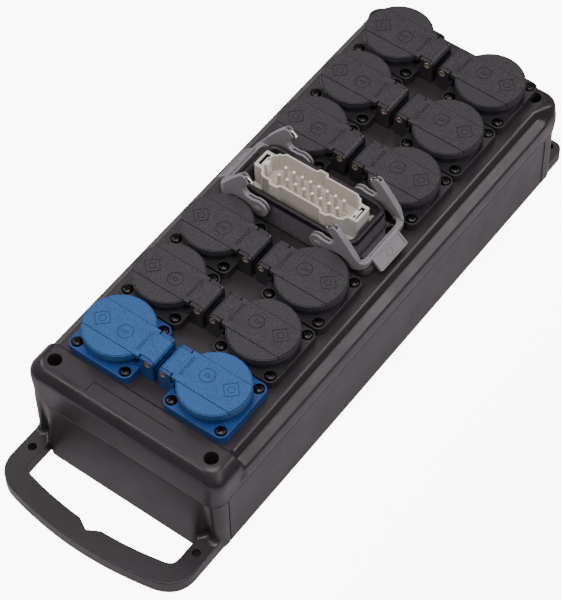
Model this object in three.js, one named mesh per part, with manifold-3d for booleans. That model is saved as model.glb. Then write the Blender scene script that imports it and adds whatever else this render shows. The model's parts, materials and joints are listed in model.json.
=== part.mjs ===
// Portable power distribution box: a two-part rubber enclosure with a carrying handle,
// twelve panel sockets with sprung hinged lids and one sixteen-pole inlet with two locking levers.
// Millimetres, +Z up. The origin is on the underside, below the middle of the socket array.
// The handle points to -Y and the inlet's long axis runs along X.

import * as THREE from 'three';
import { mergeVertices } from 'three/addons/utils/BufferGeometryUtils.js';
import Module from 'manifold-3d';

const wasm = await Module();
wasm.setup();

// ---------------------------------------------------------------- driving dimensions

const GAP = 0.3;            // space between pieces that rest on each other
const OVER = 1;             // how far a cutting tool reaches past the surface it opens
const WELD = 0.01;          // how far joined solids run into each other
const ROUND = 16;           // segments of a large circle
const SMALL_ROUND = 8;      // segments of a small circle
const HEX = 6;              // segments of the smallest circles
const CURVE = 2;            // segments of each curve in a plan outline
const EDGE_CURVE = 4;       // segments of the large rounded edges

const ROW_PITCH = 50;       // socket spacing along the box
const FIRST_ROW_Y = 50.9;   // middle of the rows next to the inlet
const ROWS_PER_SIDE = 3;
const COLUMN_X = 37.2;      // middle of each socket column

const BOX = {
  halfX: 75, nearY: -200.8, farY: 181.8, cornerRadius: 9,
  partingZ: 50.5, panelZ: 80.3, wall: 4, floor: 4,
  nearWallLean: 4.2,        // the near wall stands this much further out at its foot
};

const GASKET_DEPTH = 2;     // how deep the joint's sealing cord sits in the lower shell's rim

const COVER = {
  // right half of the cross-section in X and Z: parting edge, outward flare, sloping shelf, rim of the panel
  section: [
    [75, 50.8], [75.7, 54.2], [77.2, 59.5], [77.4, 64.5], [76.9, 68.6],
    [74.6, 71.6], [70.9, 72.3], [69.6, 76.5], [68.6, 79.6], [68, 80.3],
  ],
  flareHalfX: 77.4, innerHalfX: 64.5, innerStepZ: 66.5,
  blockTopZ: 82.3, blockBackY: -176.2, blockHalfX: 76.4, blockRound: 7,
};

const HANDLE = {
  topZ: 11.1, halfX: 74.2, shoulderY: -224, kneeX: 56, kneeY: -244.6, frontY: -251.2,
  shoulderReach: 3, cornerReach: 1, kneeReach: 4,
  gripHalfX: 60.1, gripKneeY: -226, gripCornerX: 52, gripCornerY: -229.5,
  gripMidY: -235.6, notchY: -240.1, notchHalfX: 8,
};

const FIXING = { holeRadius: 2.8, handleX: 66.5, handleY: -212.9, tabX: 65.1, tabY: 190.9 };
const TAB = { endY: 197.5, outerX: 73.6, innerX: 48, cornerRadius: 7 };

const BOLT = {
  x: 61.4, nearY: -186.4, farY: 169.7, headRadius: 4.1, headHeight: 4, shankRadius: 2.2,
  holeRadius: 2.6, tunnelRadius: 4.5, bossRadius: 7, seatZ: 60.7, tipZ: 14, driveRadius: 2.2, driveDepth: 2.4,
};

const SOCKET = {
  flangeHalf: 24.4, flangeRadius: 5.5, flangeTop: 7, collarRadius: 21.5, collarTop: 16.2,
  recessRadius: 19.5, recessFloor: -1.3, rearRadius: 21.2, rearBottom: -24,
  pinHoleRadius: 2.6, pinHoleY: 9.5, pinHoleFloor: -20,
};

const HINGE = {
  x: 31, z: 15.1, earInnerY: 9.5, earOuterY: 11.9, earStartX: 25.4, endX: 35.2, earTop: 19.1,
  footTop: 10.2, boreRadius: 2.8, pinRadius: 2.5, pinBore: 1.2, knuckleRadius: 4.3,
};

const LID = {
  radius: 23.8, top: 19.5, plateBottom: 16.6, skirtBottom: 13.6, skirtInner: 22.3,
  strapHalfY: 11.8, strapStartX: 9, strapEndX: 24,
};

const INLET = {
  gasketTop: 81.6, flangeHalfX: 58.5, flangeHalfY: 21.5, flangeRadius: 6, flangeTopZ: 86.6,
  wallHalfX: 46.5, wallHalfY: 20, wallRadius: 7, wallTopZ: 101.5, cavityHalfX: 43.6, cavityHalfY: 16.6,
  ledgeHalfX: 39, ledgeHalfY: 11.2, ledgeTopZ: 91, ledgeBottomZ: 88, cutoutHalfX: 43, cutoutHalfY: 17,
  cutoutRadius: 3, cavityRadius: 4, throatRadius: 2,
  screwX: 51.5, screwY: 16, screwRadius: 1.9, screwHoleRadius: 2.3, screwHeadRadius: 3.7,
  screwHeadHeight: 2.4, screwTipZ: 72,
};

const RIM_SEAL = { topZ: 104.5, bottomZ: 101.8, outerX: 46.2, outerY: 19.6, innerX: 42.6, innerY: 16 };

const INSERT = {
  topZ: 111.6, floorZ: 97, wall: 1.5, bodyHalfX: 33.4, bodyHalfY: 12.1, bodyRadius: 4,
  endHalfX: 40.9, endHalfY: 7.5, endRadius: 1.5, bumpHalfX: 4.2, bumpReach: 15.1,
  frontBumpX: 20.2, bumpRadius: 2, plateHalfX: 42.8, plateHalfY: 15.9, plateRadius: 3,
  plateTopZ: 94.3, plateBottomZ: 91.3,
  rearHalfX: 38, rearHalfY: 10.4, rearBottomZ: 70,
  slotX: 37.4, slotHalfX: 1.3, slotHalfY: 5, slotFloorZ: 97,
};

const CONTACT = { pitch: 6.6, perRow: 8, rowY: 3.55, radius: 1.25, tipZ: 110.5 };
const EARTH_CLIP = { halfX: 0.7, halfY: 4.6, topZ: 110.3, footZ: 97.3 };

const LEVER = {
  pivotX: 23.6, pivotZ: 97, lobeRadius: 6.8, innerY: 21.4, outerY: 25.9, boreRadius: 2.3,
  barInnerX: 54.2, barOuterX: 58.2, barTopZ: 95, barBottomZ: 91, cornerRadius: 7,
  plateHalfY: 14.5, plateEndX: 66.2, plateEndZ: 87, plateThickness: 2.8,
  // one arm's outline in X and Z: under the leg, up its outer edge, round the tip and into the notch
  leg: [[27.3, 91.6], [30.4, 94.6], [34, 97.1], [41, 97.6], [44.6, 96.6], [47.2, 94.2], [49, 91]],
  edge: [[55.2, 97], [52.4, 102], [44, 113.3], [38.2, 119.9]],
  tip: [[36.4, 121.2], [34.2, 121], [30.8, 116.4], [31.9, 114.2]],
  notch: [[36.3, 109.6], [35.4, 105.6], [33.2, 102.9], [28, 103.2]],
};

const PIVOT = { radius: 2, headRadius: 2.9, headThickness: 0.6, rootY: 20.3 };

const LOOM = {
  trunkZ: 22, trunkRadius: 6, trunkEndY: 155, branchRadius: 2.6, branchTopZ: 55.6,
  riserRadius: 5, riserTopZ: 69.6, steps: 4,
  bend: [0.7, 3, 12],       // where a branch turns: share of the column offset, rise, and drop below its top
};

const FINISH = {
  rubber: { color: 0x3a3638, roughness: 0.55, metalness: 0 },
  blackPlastic: { color: 0x353336, roughness: 0.7, metalness: 0 },
  bluePlastic: { color: 0x2565a0, roughness: 0.6, metalness: 0 },
  seal: { color: 0x1c1b1d, roughness: 0.8, metalness: 0 },
  steel: { color: 0xb8b4ae, roughness: 0.3, metalness: 1 },
  darkSteel: { color: 0x2a2929, roughness: 0.35, metalness: 1 },
  housing: { color: 0x4a494b, roughness: 0.6, metalness: 0.1 },
  lever: { color: 0x828283, roughness: 0.5, metalness: 0 },
  insert: { color: 0xbeb7a5, roughness: 0.5, metalness: 0 },
  cable: { color: 0x18181a, roughness: 0.8, metalness: 0 },
};

// ---------------------------------------------------------------- solids from three.js geometries

function solid(geometry) {
  const bare = geometry.index ? geometry.toNonIndexed() : geometry;
  bare.deleteAttribute('normal');
  bare.deleteAttribute('uv');
  const merged = mergeVertices(bare, 1e-4);
  const mesh = new wasm.Mesh({
    numProp: 3,
    vertProperties: new Float32Array(merged.attributes.position.array),
    triVerts: new Uint32Array(merged.index.array),
  });
  return new wasm.Manifold(mesh);
}

function geometryOf(manifold) {
  const mesh = manifold.getMesh();
  const geometry = new THREE.BufferGeometry();
  geometry.setAttribute('position', new THREE.BufferAttribute(new Float32Array(mesh.vertProperties), 3));
  geometry.setIndex(new THREE.BufferAttribute(new Uint32Array(mesh.triVerts), 1));
  return geometry;
}

function join(first, ...rest) {
  return rest.reduce((sum, piece) => sum.add(piece), first);
}

function cut(first, ...tools) {
  return tools.reduce((left, tool) => left.subtract(tool), first);
}

// A box between two corners.
function block(low, high) {
  const size = high.map((value, axis) => value - low[axis]);
  const geometry = new THREE.BoxGeometry(...size);
  geometry.translate(...high.map((value, axis) => (value + low[axis]) / 2));
  return solid(geometry);
}

// A plan outline raised from z0 to z1.
function prism(outline, z0, z1, curveSegments = CURVE) {
  const geometry = new THREE.ExtrudeGeometry(outline, { depth: z1 - z0, bevelEnabled: false, curveSegments });
  geometry.translate(0, 0, z0);
  return solid(geometry);
}

// An outline drawn in X and Z, carried along Y from y0 to y1.
function sideProfile(outline, y0, y1, curveSegments = CURVE) {
  const geometry = new THREE.ExtrudeGeometry(outline, { depth: y1 - y0, bevelEnabled: false, curveSegments });
  geometry.rotateX(Math.PI / 2);
  geometry.translate(0, y1, 0);
  return solid(geometry);
}

function roundPost(x, y, z0, z1, radius, segments = SMALL_ROUND) {
  const geometry = new THREE.CylinderGeometry(radius, radius, z1 - z0, segments);
  geometry.rotateX(Math.PI / 2);
  geometry.translate(x, y, (z0 + z1) / 2);
  return solid(geometry);
}

function roundBar(x, z, y0, y1, radius, segments = SMALL_ROUND) {
  const geometry = new THREE.CylinderGeometry(radius, radius, y1 - y0, segments);
  geometry.translate(x, (y0 + y1) / 2, z);
  return solid(geometry);
}

function roundedRectangle(x0, y0, x1, y1, radius) {
  const outline = new THREE.Shape();
  outline.moveTo(x0 + radius, y0);
  outline.lineTo(x1 - radius, y0);
  outline.quadraticCurveTo(x1, y0, x1, y0 + radius);
  outline.lineTo(x1, y1 - radius);
  outline.quadraticCurveTo(x1, y1, x1 - radius, y1);
  outline.lineTo(x0 + radius, y1);
  outline.quadraticCurveTo(x0, y1, x0, y1 - radius);
  outline.lineTo(x0, y0 + radius);
  outline.quadraticCurveTo(x0, y0, x0 + radius, y0);
  return outline;
}

function centredRectangle(halfX, halfY, radius) {
  return roundedRectangle(-halfX, -halfY, halfX, halfY, radius);
}

function polygon(points) {
  return new THREE.Shape(points.map(([x, y]) => new THREE.Vector2(x, y)));
}

function mesh(name, manifold, finish) {
  const piece = new THREE.Mesh(geometryOf(manifold), new THREE.MeshStandardMaterial(FINISH[finish]));
  piece.name = name;
  return piece;
}

// ---------------------------------------------------------------- positions that repeat

const boltPlaces = [
  { name: 'near_left', x: -BOLT.x, y: BOLT.nearY },
  { name: 'near_right', x: BOLT.x, y: BOLT.nearY },
  { name: 'far_left', x: -BOLT.x, y: BOLT.farY },
  { name: 'far_right', x: BOLT.x, y: BOLT.farY },
];

const fixingPlaces = [-1, 1].flatMap((side) => [
  [side * FIXING.handleX, FIXING.handleY],
  [side * FIXING.tabX, FIXING.tabY],
]);

// Rows are numbered from the handle end; the near row is the blue pair.
const rowYs = [];
for (let row = ROWS_PER_SIDE - 1; row >= 0; row -= 1) rowYs.push(-FIRST_ROW_Y - row * ROW_PITCH);
for (let row = 0; row < ROWS_PER_SIDE; row += 1) rowYs.push(FIRST_ROW_Y + row * ROW_PITCH);

// ---------------------------------------------------------------- enclosure

function handleOutline() {
  const h = HANDLE;
  const outline = new THREE.Shape();
  outline.moveTo(-h.halfX, BOX.nearY + BOX.cornerRadius);
  outline.lineTo(-h.halfX, h.shoulderY);
  outline.quadraticCurveTo(-h.halfX, h.kneeY + h.shoulderReach, -h.kneeX, h.kneeY);
  outline.quadraticCurveTo(-h.kneeX / 2, h.frontY, 0, h.frontY);
  outline.quadraticCurveTo(h.kneeX / 2, h.frontY, h.kneeX, h.kneeY);
  outline.quadraticCurveTo(h.halfX, h.kneeY + h.shoulderReach, h.halfX, h.shoulderY);
  outline.lineTo(h.halfX, BOX.nearY + BOX.cornerRadius);
  return outline;
}

// The hand opening, with the notch that hangs the box on a hook.
function gripOutline() {
  const h = HANDLE;
  const footY = BOX.nearY - BOX.nearWallLean;
  const outline = new THREE.Shape();
  outline.moveTo(-h.gripHalfX, footY);
  outline.lineTo(-h.gripHalfX, h.gripKneeY + h.kneeReach);
  outline.quadraticCurveTo(-h.gripHalfX, h.gripCornerY + h.cornerReach, -h.gripCornerX, h.gripCornerY);
  outline.quadraticCurveTo(-h.gripCornerX / 2, h.gripMidY + h.cornerReach, -h.notchHalfX, h.gripMidY);
  outline.lineTo(0, h.notchY);
  outline.lineTo(h.notchHalfX, h.gripMidY);
  outline.quadraticCurveTo(h.gripCornerX / 2, h.gripMidY + h.cornerReach, h.gripCornerX, h.gripCornerY);
  outline.quadraticCurveTo(
    h.gripHalfX, h.gripCornerY + h.cornerReach, h.gripHalfX, h.gripKneeY + h.kneeReach,
  );
  outline.lineTo(h.gripHalfX, footY);
  return outline;
}

function baseShell() {
  const b = BOX;
  const rim = b.partingZ - GAP;
  const outer = prism(roundedRectangle(-b.halfX, b.nearY, b.halfX, b.farY, b.cornerRadius), 0, rim);
  const lean = new THREE.Shape([
    new THREE.Vector2(0, 0), new THREE.Vector2(b.nearWallLean, 0), new THREE.Vector2(0, rim),
  ]);
  const leanGeometry = new THREE.ExtrudeGeometry(lean, { depth: 2 * HANDLE.gripHalfX, bevelEnabled: false });
  leanGeometry.rotateX(Math.PI / 2);
  leanGeometry.rotateZ(-Math.PI / 2);
  leanGeometry.translate(HANDLE.gripHalfX, b.nearY + WELD, 0);
  const handle = prism(handleOutline(), 0, HANDLE.topZ);
  const grip = prism(gripOutline(), -OVER, HANDLE.topZ + OVER);
  const tabs = [-1, 1].map((side) => {
    const x0 = Math.min(side * TAB.innerX, side * TAB.outerX);
    const x1 = Math.max(side * TAB.innerX, side * TAB.outerX);
    const outline = roundedRectangle(x0, b.farY - 2 * TAB.cornerRadius, x1, TAB.endY, TAB.cornerRadius);
    return prism(outline, 0, HANDLE.topZ);
  });
  const cavity = prism(roundedRectangle(
    -b.halfX + b.wall, b.nearY + b.wall, b.halfX - b.wall, b.farY - b.wall, b.cornerRadius - b.wall,
  ), b.floor, rim + OVER);
  const rebate = prism(roundedRectangle(
    -b.halfX + b.wall / 2, b.nearY + b.wall / 2, b.halfX - b.wall / 2, b.farY - b.wall / 2,
    b.cornerRadius - b.wall / 2,
  ), rim - GASKET_DEPTH, rim + OVER);
  const bosses = boltPlaces.map(({ x, y }) => roundPost(x, y, b.floor / 2, rim, BOLT.bossRadius));
  const pilots = boltPlaces.map(({ x, y }) => roundPost(x, y, BOLT.tipZ - OVER, rim + OVER, BOLT.holeRadius));
  const fixings = fixingPlaces.map(([x, y]) => roundPost(x, y, -OVER, HANDLE.topZ + OVER, FIXING.holeRadius));
  const tray = cut(join(cut(join(outer, handle), grip), solid(leanGeometry), ...tabs), cavity, rebate);
  return cut(join(tray, ...bosses), ...pilots, ...fixings);
}

function shellGasket() {
  const b = BOX;
  const inset = b.wall / 2 + GAP;
  const outer = roundedRectangle(
    -b.halfX + inset, b.nearY + inset, b.halfX - inset, b.farY - inset, b.cornerRadius - inset,
  );
  const width = b.wall / 2 - GAP;
  const inner = roundedRectangle(
    -b.halfX + inset + width, b.nearY + inset + width, b.halfX - inset - width, b.farY - inset - width,
    b.cornerRadius - inset - width,
  );
  outer.holes.push(inner);
  const ring = prism(outer, b.partingZ - GASKET_DEPTH, b.partingZ);
  const bosses = boltPlaces.map(({ x, y }) => roundPost(x, y, 0, b.partingZ + OVER, BOLT.bossRadius + GAP));
  return cut(ring, ...bosses);
}

// Cross-section of the cover: flared skirt, shelf and raised panel with rounded edges.
function coverProfile() {
  const left = COVER.section.map(([x, z]) => [-x, z]).reverse();
  return polygon([...COVER.section, ...left]);
}

// The raised block at the handle end, rounded over at its sides and its near edge.
function nearBlock() {
  const c = COVER;
  const bottom = BOX.partingZ + GAP;
  const edgeX = c.blockHalfX + OVER;
  const outline = roundedRectangle(-c.blockHalfX, BOX.nearY, c.blockHalfX, c.blockBackY, BOX.cornerRadius);
  const profile = new THREE.Shape();
  profile.moveTo(-edgeX, bottom);
  profile.lineTo(edgeX, bottom);
  profile.lineTo(edgeX, c.blockTopZ - c.blockRound);
  profile.quadraticCurveTo(edgeX, c.blockTopZ, c.blockHalfX - c.blockRound, c.blockTopZ);
  profile.lineTo(-c.blockHalfX + c.blockRound, c.blockTopZ);
  profile.quadraticCurveTo(-edgeX, c.blockTopZ, -edgeX, c.blockTopZ - c.blockRound);
  const across = sideProfile(profile, BOX.nearY - OVER, c.blockBackY + OVER, EDGE_CURVE);
  const along = new THREE.Shape();
  along.moveTo(BOX.nearY - OVER, BOX.partingZ);
  along.lineTo(c.blockBackY + OVER, BOX.partingZ);
  along.lineTo(c.blockBackY + OVER, c.blockTopZ);
  along.lineTo(BOX.nearY + c.blockRound, c.blockTopZ);
  along.quadraticCurveTo(BOX.nearY, c.blockTopZ, BOX.nearY, c.blockTopZ - c.blockRound);
  along.lineTo(BOX.nearY - OVER, BOX.partingZ);
  const endGeometry = new THREE.ExtrudeGeometry(along, {
    depth: 2 * edgeX, bevelEnabled: false, curveSegments: EDGE_CURVE,
  });
  endGeometry.rotateX(Math.PI / 2);
  endGeometry.rotateZ(Math.PI / 2);
  endGeometry.translate(-edgeX, 0, 0);
  return prism(outline, bottom, c.blockTopZ + OVER).intersect(across).intersect(solid(endGeometry));
}

function topShell() {
  const b = BOX;
  const c = COVER;
  const plan = prism(roundedRectangle(
    -c.flareHalfX, b.nearY, c.flareHalfX, b.farY, b.cornerRadius,
  ), b.partingZ, c.blockTopZ + OVER);
  const skin = sideProfile(coverProfile(), b.nearY - OVER, b.farY + OVER).intersect(plan);
  const lowCavity = prism(roundedRectangle(
    -b.halfX + b.wall, b.nearY + b.wall, b.halfX - b.wall, b.farY - b.wall, b.cornerRadius - b.wall,
  ), b.partingZ - OVER, c.innerStepZ);
  const highCavity = block(
    [-c.innerHalfX, b.nearY + 2 * b.wall, c.innerStepZ - OVER],
    [c.innerHalfX, b.farY - 2 * b.wall, b.panelZ - b.wall],
  );
  const tunnels = boltPlaces.map(({ x, y }) => (
    roundPost(x, y, b.partingZ + GAP, b.panelZ - OVER, BOLT.bossRadius)
  ));
  const heads = boltPlaces.map(({ x, y }) => (
    roundPost(x, y, BOLT.seatZ, c.blockTopZ + OVER, BOLT.tunnelRadius, ROUND)
  ));
  const shanks = boltPlaces.map(({ x, y }) => (
    roundPost(x, y, b.partingZ - OVER, BOLT.seatZ + OVER, BOLT.holeRadius)
  ));
  const openings = rowYs.flatMap((y) => [-1, 1].map((side) => (
    roundPost(side * COLUMN_X, y, b.panelZ - b.wall - OVER, b.panelZ + OVER, SOCKET.rearRadius + GAP, ROUND)
  )));
  const inletOpening = prism(
    centredRectangle(INLET.cutoutHalfX, INLET.cutoutHalfY, INLET.cutoutRadius),
    b.panelZ - b.wall - OVER, b.panelZ + OVER,
  );
  const inletScrews = inletScrewPlaces.map(({ x, y }) => (
    roundPost(x, y, INLET.screwTipZ - 2 * OVER, b.panelZ + OVER, INLET.screwHoleRadius)
  ));
  const hollow = cut(join(skin, nearBlock()), lowCavity, highCavity);
  return cut(join(hollow, ...tunnels), ...heads, ...shanks, ...openings, inletOpening, ...inletScrews);
}

function shellBolt({ x, y }) {
  const head = roundPost(x, y, BOLT.seatZ + GAP, BOLT.seatZ + GAP + BOLT.headHeight, BOLT.headRadius);
  const shank = roundPost(x, y, BOLT.tipZ, BOLT.seatZ + OVER, BOLT.shankRadius);
  const top = BOLT.seatZ + GAP + BOLT.headHeight;
  const drive = roundPost(x, y, top - BOLT.driveDepth, top + OVER, BOLT.driveRadius, HEX);
  return cut(join(head, shank), drive);
}

// ---------------------------------------------------------------- one panel socket, hinge towards +X
// Its origin is on the panel's top face at the socket's axis.

function socketBody() {
  const s = SOCKET;
  const h = HINGE;
  const flange = prism(centredRectangle(s.flangeHalf, s.flangeHalf, s.flangeRadius), GAP, s.flangeTop);
  const collar = roundPost(0, 0, GAP, s.collarTop, s.collarRadius, ROUND);
  const rear = roundPost(0, 0, s.rearBottom, s.flangeTop, s.rearRadius, ROUND);
  const foot = block([s.flangeHalf - OVER, -h.earOuterY, GAP], [h.endX, h.earOuterY, h.footTop]);
  const ears = [-1, 1].map((side) => {
    const y0 = Math.min(side * h.earInnerY, side * h.earOuterY);
    const y1 = Math.max(side * h.earInnerY, side * h.earOuterY);
    return block([h.earStartX, y0, GAP], [h.endX, y1, h.earTop]);
  });
  const recess = roundPost(0, 0, s.recessFloor, s.collarTop + OVER, s.recessRadius, ROUND);
  const pinHoles = [-1, 1].map((side) => (
    roundPost(0, side * s.pinHoleY, s.pinHoleFloor, s.recessFloor + OVER, s.pinHoleRadius, HEX)
  ));
  const bore = roundBar(h.x, h.z, -h.earOuterY - OVER, h.earOuterY + OVER, h.boreRadius);
  return cut(join(flange, collar, rear, foot, ...ears), recess, ...pinHoles, bore);
}

function socketLid() {
  const l = LID;
  const h = HINGE;
  const disc = roundPost(0, 0, l.skirtBottom, l.top, l.radius, ROUND);
  const hollow = roundPost(0, 0, l.skirtBottom - OVER, l.plateBottom, l.skirtInner, ROUND);
  const strap = block([l.strapStartX, -l.strapHalfY, l.plateBottom], [l.strapEndX, l.strapHalfY, l.top]);
  const tongueHalf = h.earInnerY - GAP;
  const tongue = block([l.strapStartX, -tongueHalf, l.plateBottom], [h.x, tongueHalf, l.top]);
  const knuckle = roundBar(h.x, h.z, -tongueHalf, tongueHalf, h.knuckleRadius);
  const bore = roundBar(h.x, h.z, -h.earOuterY, h.earOuterY, h.boreRadius);
  return cut(join(cut(disc, hollow), strap, tongue, knuckle), bore);
}

// A rolled pin with an open middle.
function hingePin() {
  const h = HINGE;
  const profile = [
    [h.pinBore, -h.earOuterY], [h.pinRadius, -h.earOuterY], [h.pinRadius, h.earOuterY],
    [h.pinBore, h.earOuterY], [h.pinBore, -h.earOuterY],
  ].map(([x, y]) => new THREE.Vector2(x, y));
  const geometry = new THREE.LatheGeometry(profile, SMALL_ROUND);
  geometry.translate(h.x, 0, h.z);
  return solid(geometry);
}

function socketUnit(row, side) {
  const column = side < 0 ? 'left' : 'right';
  const finish = row === 0 ? 'bluePlastic' : 'blackPlastic';
  const unit = new THREE.Group();
  unit.position.set(side * COLUMN_X, rowYs[row], BOX.panelZ);
  unit.rotation.z = side < 0 ? 0 : Math.PI;
  unit.add(mesh(`socket_${column}_${row + 1}`, socketBody(), finish));
  unit.add(mesh(`lid_${column}_${row + 1}`, socketLid(), finish));
  unit.add(mesh(`lid_pin_${column}_${row + 1}`, hingePin(), 'steel'));
  return unit;
}

// ---------------------------------------------------------------- sixteen-pole inlet

const inletScrewPlaces = [-1, 1].flatMap((sx) => [-1, 1].map((sy) => ({
  name: `${sy < 0 ? 'near' : 'far'}_${sx < 0 ? 'left' : 'right'}`,
  x: sx * INLET.screwX,
  y: sy * INLET.screwY,
})));

function inletHousing() {
  const i = INLET;
  const base = i.gasketTop + GAP;
  const flange = prism(centredRectangle(i.flangeHalfX, i.flangeHalfY, i.flangeRadius), base, i.flangeTopZ);
  const wall = prism(centredRectangle(i.wallHalfX, i.wallHalfY, i.wallRadius), base, i.wallTopZ);
  const cavityPlan = centredRectangle(i.cavityHalfX, i.cavityHalfY, i.cavityRadius);
  const ledgePlan = centredRectangle(i.ledgeHalfX, i.ledgeHalfY, i.throatRadius);
  const wallCavity = prism(cavityPlan, i.ledgeTopZ, i.wallTopZ + OVER);
  const throat = prism(ledgePlan, base - OVER, i.ledgeTopZ + OVER);
  const underside = prism(cavityPlan, base - OVER, i.ledgeBottomZ);
  const screwHoles = inletScrewPlaces.map(({ x, y }) => (
    roundPost(x, y, base - OVER, i.flangeTopZ + OVER, i.screwHoleRadius)
  ));
  return cut(join(flange, wall), wallCavity, throat, underside, ...screwHoles);
}

function inletGasket() {
  const i = INLET;
  const outline = centredRectangle(i.flangeHalfX, i.flangeHalfY, i.flangeRadius);
  const sheet = prism(outline, BOX.panelZ + GAP, i.gasketTop);
  const opening = prism(
    centredRectangle(i.cutoutHalfX, i.cutoutHalfY, i.cutoutRadius), BOX.panelZ - OVER, i.gasketTop + OVER,
  );
  const holes = inletScrewPlaces.map(({ x, y }) => (
    roundPost(x, y, BOX.panelZ - OVER, i.gasketTop + OVER, i.screwHoleRadius)
  ));
  return cut(sheet, opening, ...holes);
}

function rimSeal() {
  const r = RIM_SEAL;
  const ring = centredRectangle(r.outerX, r.outerY, INLET.wallRadius);
  ring.holes.push(centredRectangle(r.innerX, r.innerY, INLET.wallRadius / 2));
  return prism(ring, r.bottomZ, r.topZ);
}

// Plan outline of the insert's raised wall, grown or shrunk by an offset.
function insertPlan(offset, z0, z1) {
  const n = INSERT;
  const outline = centredRectangle(n.bodyHalfX + offset, n.bodyHalfY + offset, n.bodyRadius + offset);
  const body = prism(outline, z0, z1);
  const bumps = [[-n.frontBumpX, -1], [n.frontBumpX, -1], [0, 1]].map(([x, side]) => {
    const reach = n.bumpReach + offset;
    const y0 = side < 0 ? -reach : 0;
    const y1 = side < 0 ? 0 : reach;
    const half = n.bumpHalfX + offset;
    return prism(roundedRectangle(x - half, y0, x + half, y1, n.bumpRadius + offset), z0, z1);
  });
  return join(body, ...bumps);
}

function insertBody() {
  const n = INSERT;
  const ends = prism(centredRectangle(n.endHalfX, n.endHalfY, n.endRadius), n.plateTopZ - OVER, n.topZ);
  const raised = join(insertPlan(0, n.plateTopZ - OVER, n.topZ), ends);
  const well = insertPlan(-n.wall, n.floorZ, n.topZ + OVER);
  const plateOutline = centredRectangle(n.plateHalfX, n.plateHalfY, n.plateRadius);
  const plate = prism(plateOutline, n.plateBottomZ, n.plateTopZ);
  const rear = block([-n.rearHalfX, -n.rearHalfY, n.rearBottomZ], [n.rearHalfX, n.rearHalfY, n.plateTopZ]);
  const slots = [-1, 1].map((side) => block(
    [side * n.slotX - n.slotHalfX, -n.slotHalfY, n.slotFloorZ],
    [side * n.slotX + n.slotHalfX, n.slotHalfY, n.topZ + OVER],
  ));
  const contacts = [];
  for (let column = 0; column < CONTACT.perRow; column += 1) {
    const x = (column - (CONTACT.perRow - 1) / 2) * CONTACT.pitch;
    contacts.push(...[-1, 1].map((side) => (
      roundPost(x, side * CONTACT.rowY, n.floorZ - OVER, CONTACT.tipZ, CONTACT.radius, HEX)
    )));
  }
  return join(cut(join(raised, plate, rear), well, ...slots), ...contacts);
}

function earthClip(side) {
  const e = EARTH_CLIP;
  const x = side * INSERT.slotX;
  return block([x - e.halfX, -e.halfY, e.footZ], [x + e.halfX, e.halfY, e.topZ]);
}

// One arm's outline in X and Z: a lobe at the pivot, a leg to the bar and a hooked upper end.
function leverArm() {
  const l = LEVER;
  return polygon([
    [l.pivotX, l.pivotZ - l.lobeRadius], ...l.leg, [l.barOuterX, l.barBottomZ], [l.barOuterX, l.barTopZ],
    ...l.edge, ...l.tip, ...l.notch, [l.pivotX, l.pivotZ + l.lobeRadius],
  ]);
}

function lever(side) {
  const l = LEVER;
  const arms = [[-l.outerY, -l.innerY], [l.innerY, l.outerY]].map(([y0, y1]) => join(
    sideProfile(leverArm(), y0, y1), roundBar(l.pivotX, l.pivotZ, y0, y1, l.lobeRadius, ROUND),
  ));
  const bar = block([l.barInnerX, -l.outerY, l.barBottomZ], [l.barOuterX, l.outerY, l.barTopZ]);
  const plan = prism(roundedRectangle(0, -l.outerY, l.barOuterX, l.outerY, l.cornerRadius), 0, 2 * l.pivotZ);
  const plate = sideProfile(polygon([
    [l.barInnerX + OVER, l.barTopZ - l.plateThickness], [l.plateEndX - OVER, l.plateEndZ - l.plateThickness],
    [l.plateEndX, l.plateEndZ], [l.barOuterX, l.barTopZ], [l.barInnerX + OVER, l.barTopZ],
  ]), -l.plateHalfY, l.plateHalfY);
  const bore = roundBar(l.pivotX, l.pivotZ, -l.outerY - OVER, l.outerY + OVER, l.boreRadius);
  const shape = cut(join(join(...arms, bar).intersect(plan), plate), bore);
  return side > 0 ? shape : shape.mirror([1, 0, 0]);
}

// A rivet through one arm, with its head outside.
function leverPivot(sx, sy) {
  const p = PIVOT;
  const headStart = LEVER.outerY + GAP;
  const ends = (a, b) => [Math.min(sy * a, sy * b), Math.max(sy * a, sy * b)];
  const shank = roundBar(sx * LEVER.pivotX, LEVER.pivotZ, ...ends(p.rootY, headStart + WELD), p.radius);
  const head = roundBar(
    sx * LEVER.pivotX, LEVER.pivotZ, ...ends(headStart, headStart + p.headThickness), p.headRadius,
  );
  return join(shank, head);
}

function inletScrew({ x, y }) {
  const i = INLET;
  const seat = i.flangeTopZ + GAP;
  const head = roundPost(x, y, seat, seat + i.screwHeadHeight, i.screwHeadRadius);
  const shank = roundPost(x, y, i.screwTipZ, seat + OVER, i.screwRadius);
  return join(head, shank);
}

// ---------------------------------------------------------------- wiring inside

function tube(points, radius, steps) {
  const circle = new THREE.Shape();
  circle.absarc(0, 0, radius, 0, 2 * Math.PI, false);
  const extrudePath = new THREE.CatmullRomCurve3(points.map((p) => new THREE.Vector3(...p)));
  return solid(new THREE.ExtrudeGeometry(circle, { steps, curveSegments: CURVE, extrudePath }));
}

function wiringLoom() {
  const w = LOOM;
  const [share, rise, drop] = w.bend;
  const trunk = roundBar(0, w.trunkZ, -w.trunkEndY, w.trunkEndY, w.trunkRadius);
  const riser = roundPost(0, 0, w.trunkZ, w.riserTopZ, w.riserRadius);
  const branches = rowYs.flatMap((y) => [-1, 1].map((side) => tube([
    [0, y, w.trunkZ], [side * COLUMN_X * share, y, w.trunkZ + rise],
    [side * COLUMN_X, y, w.branchTopZ - drop], [side * COLUMN_X, y, w.branchTopZ],
  ], w.branchRadius, w.steps)));
  return join(trunk, riser, ...branches);
}

// ---------------------------------------------------------------- assembly

const box = new THREE.Group();

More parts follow.
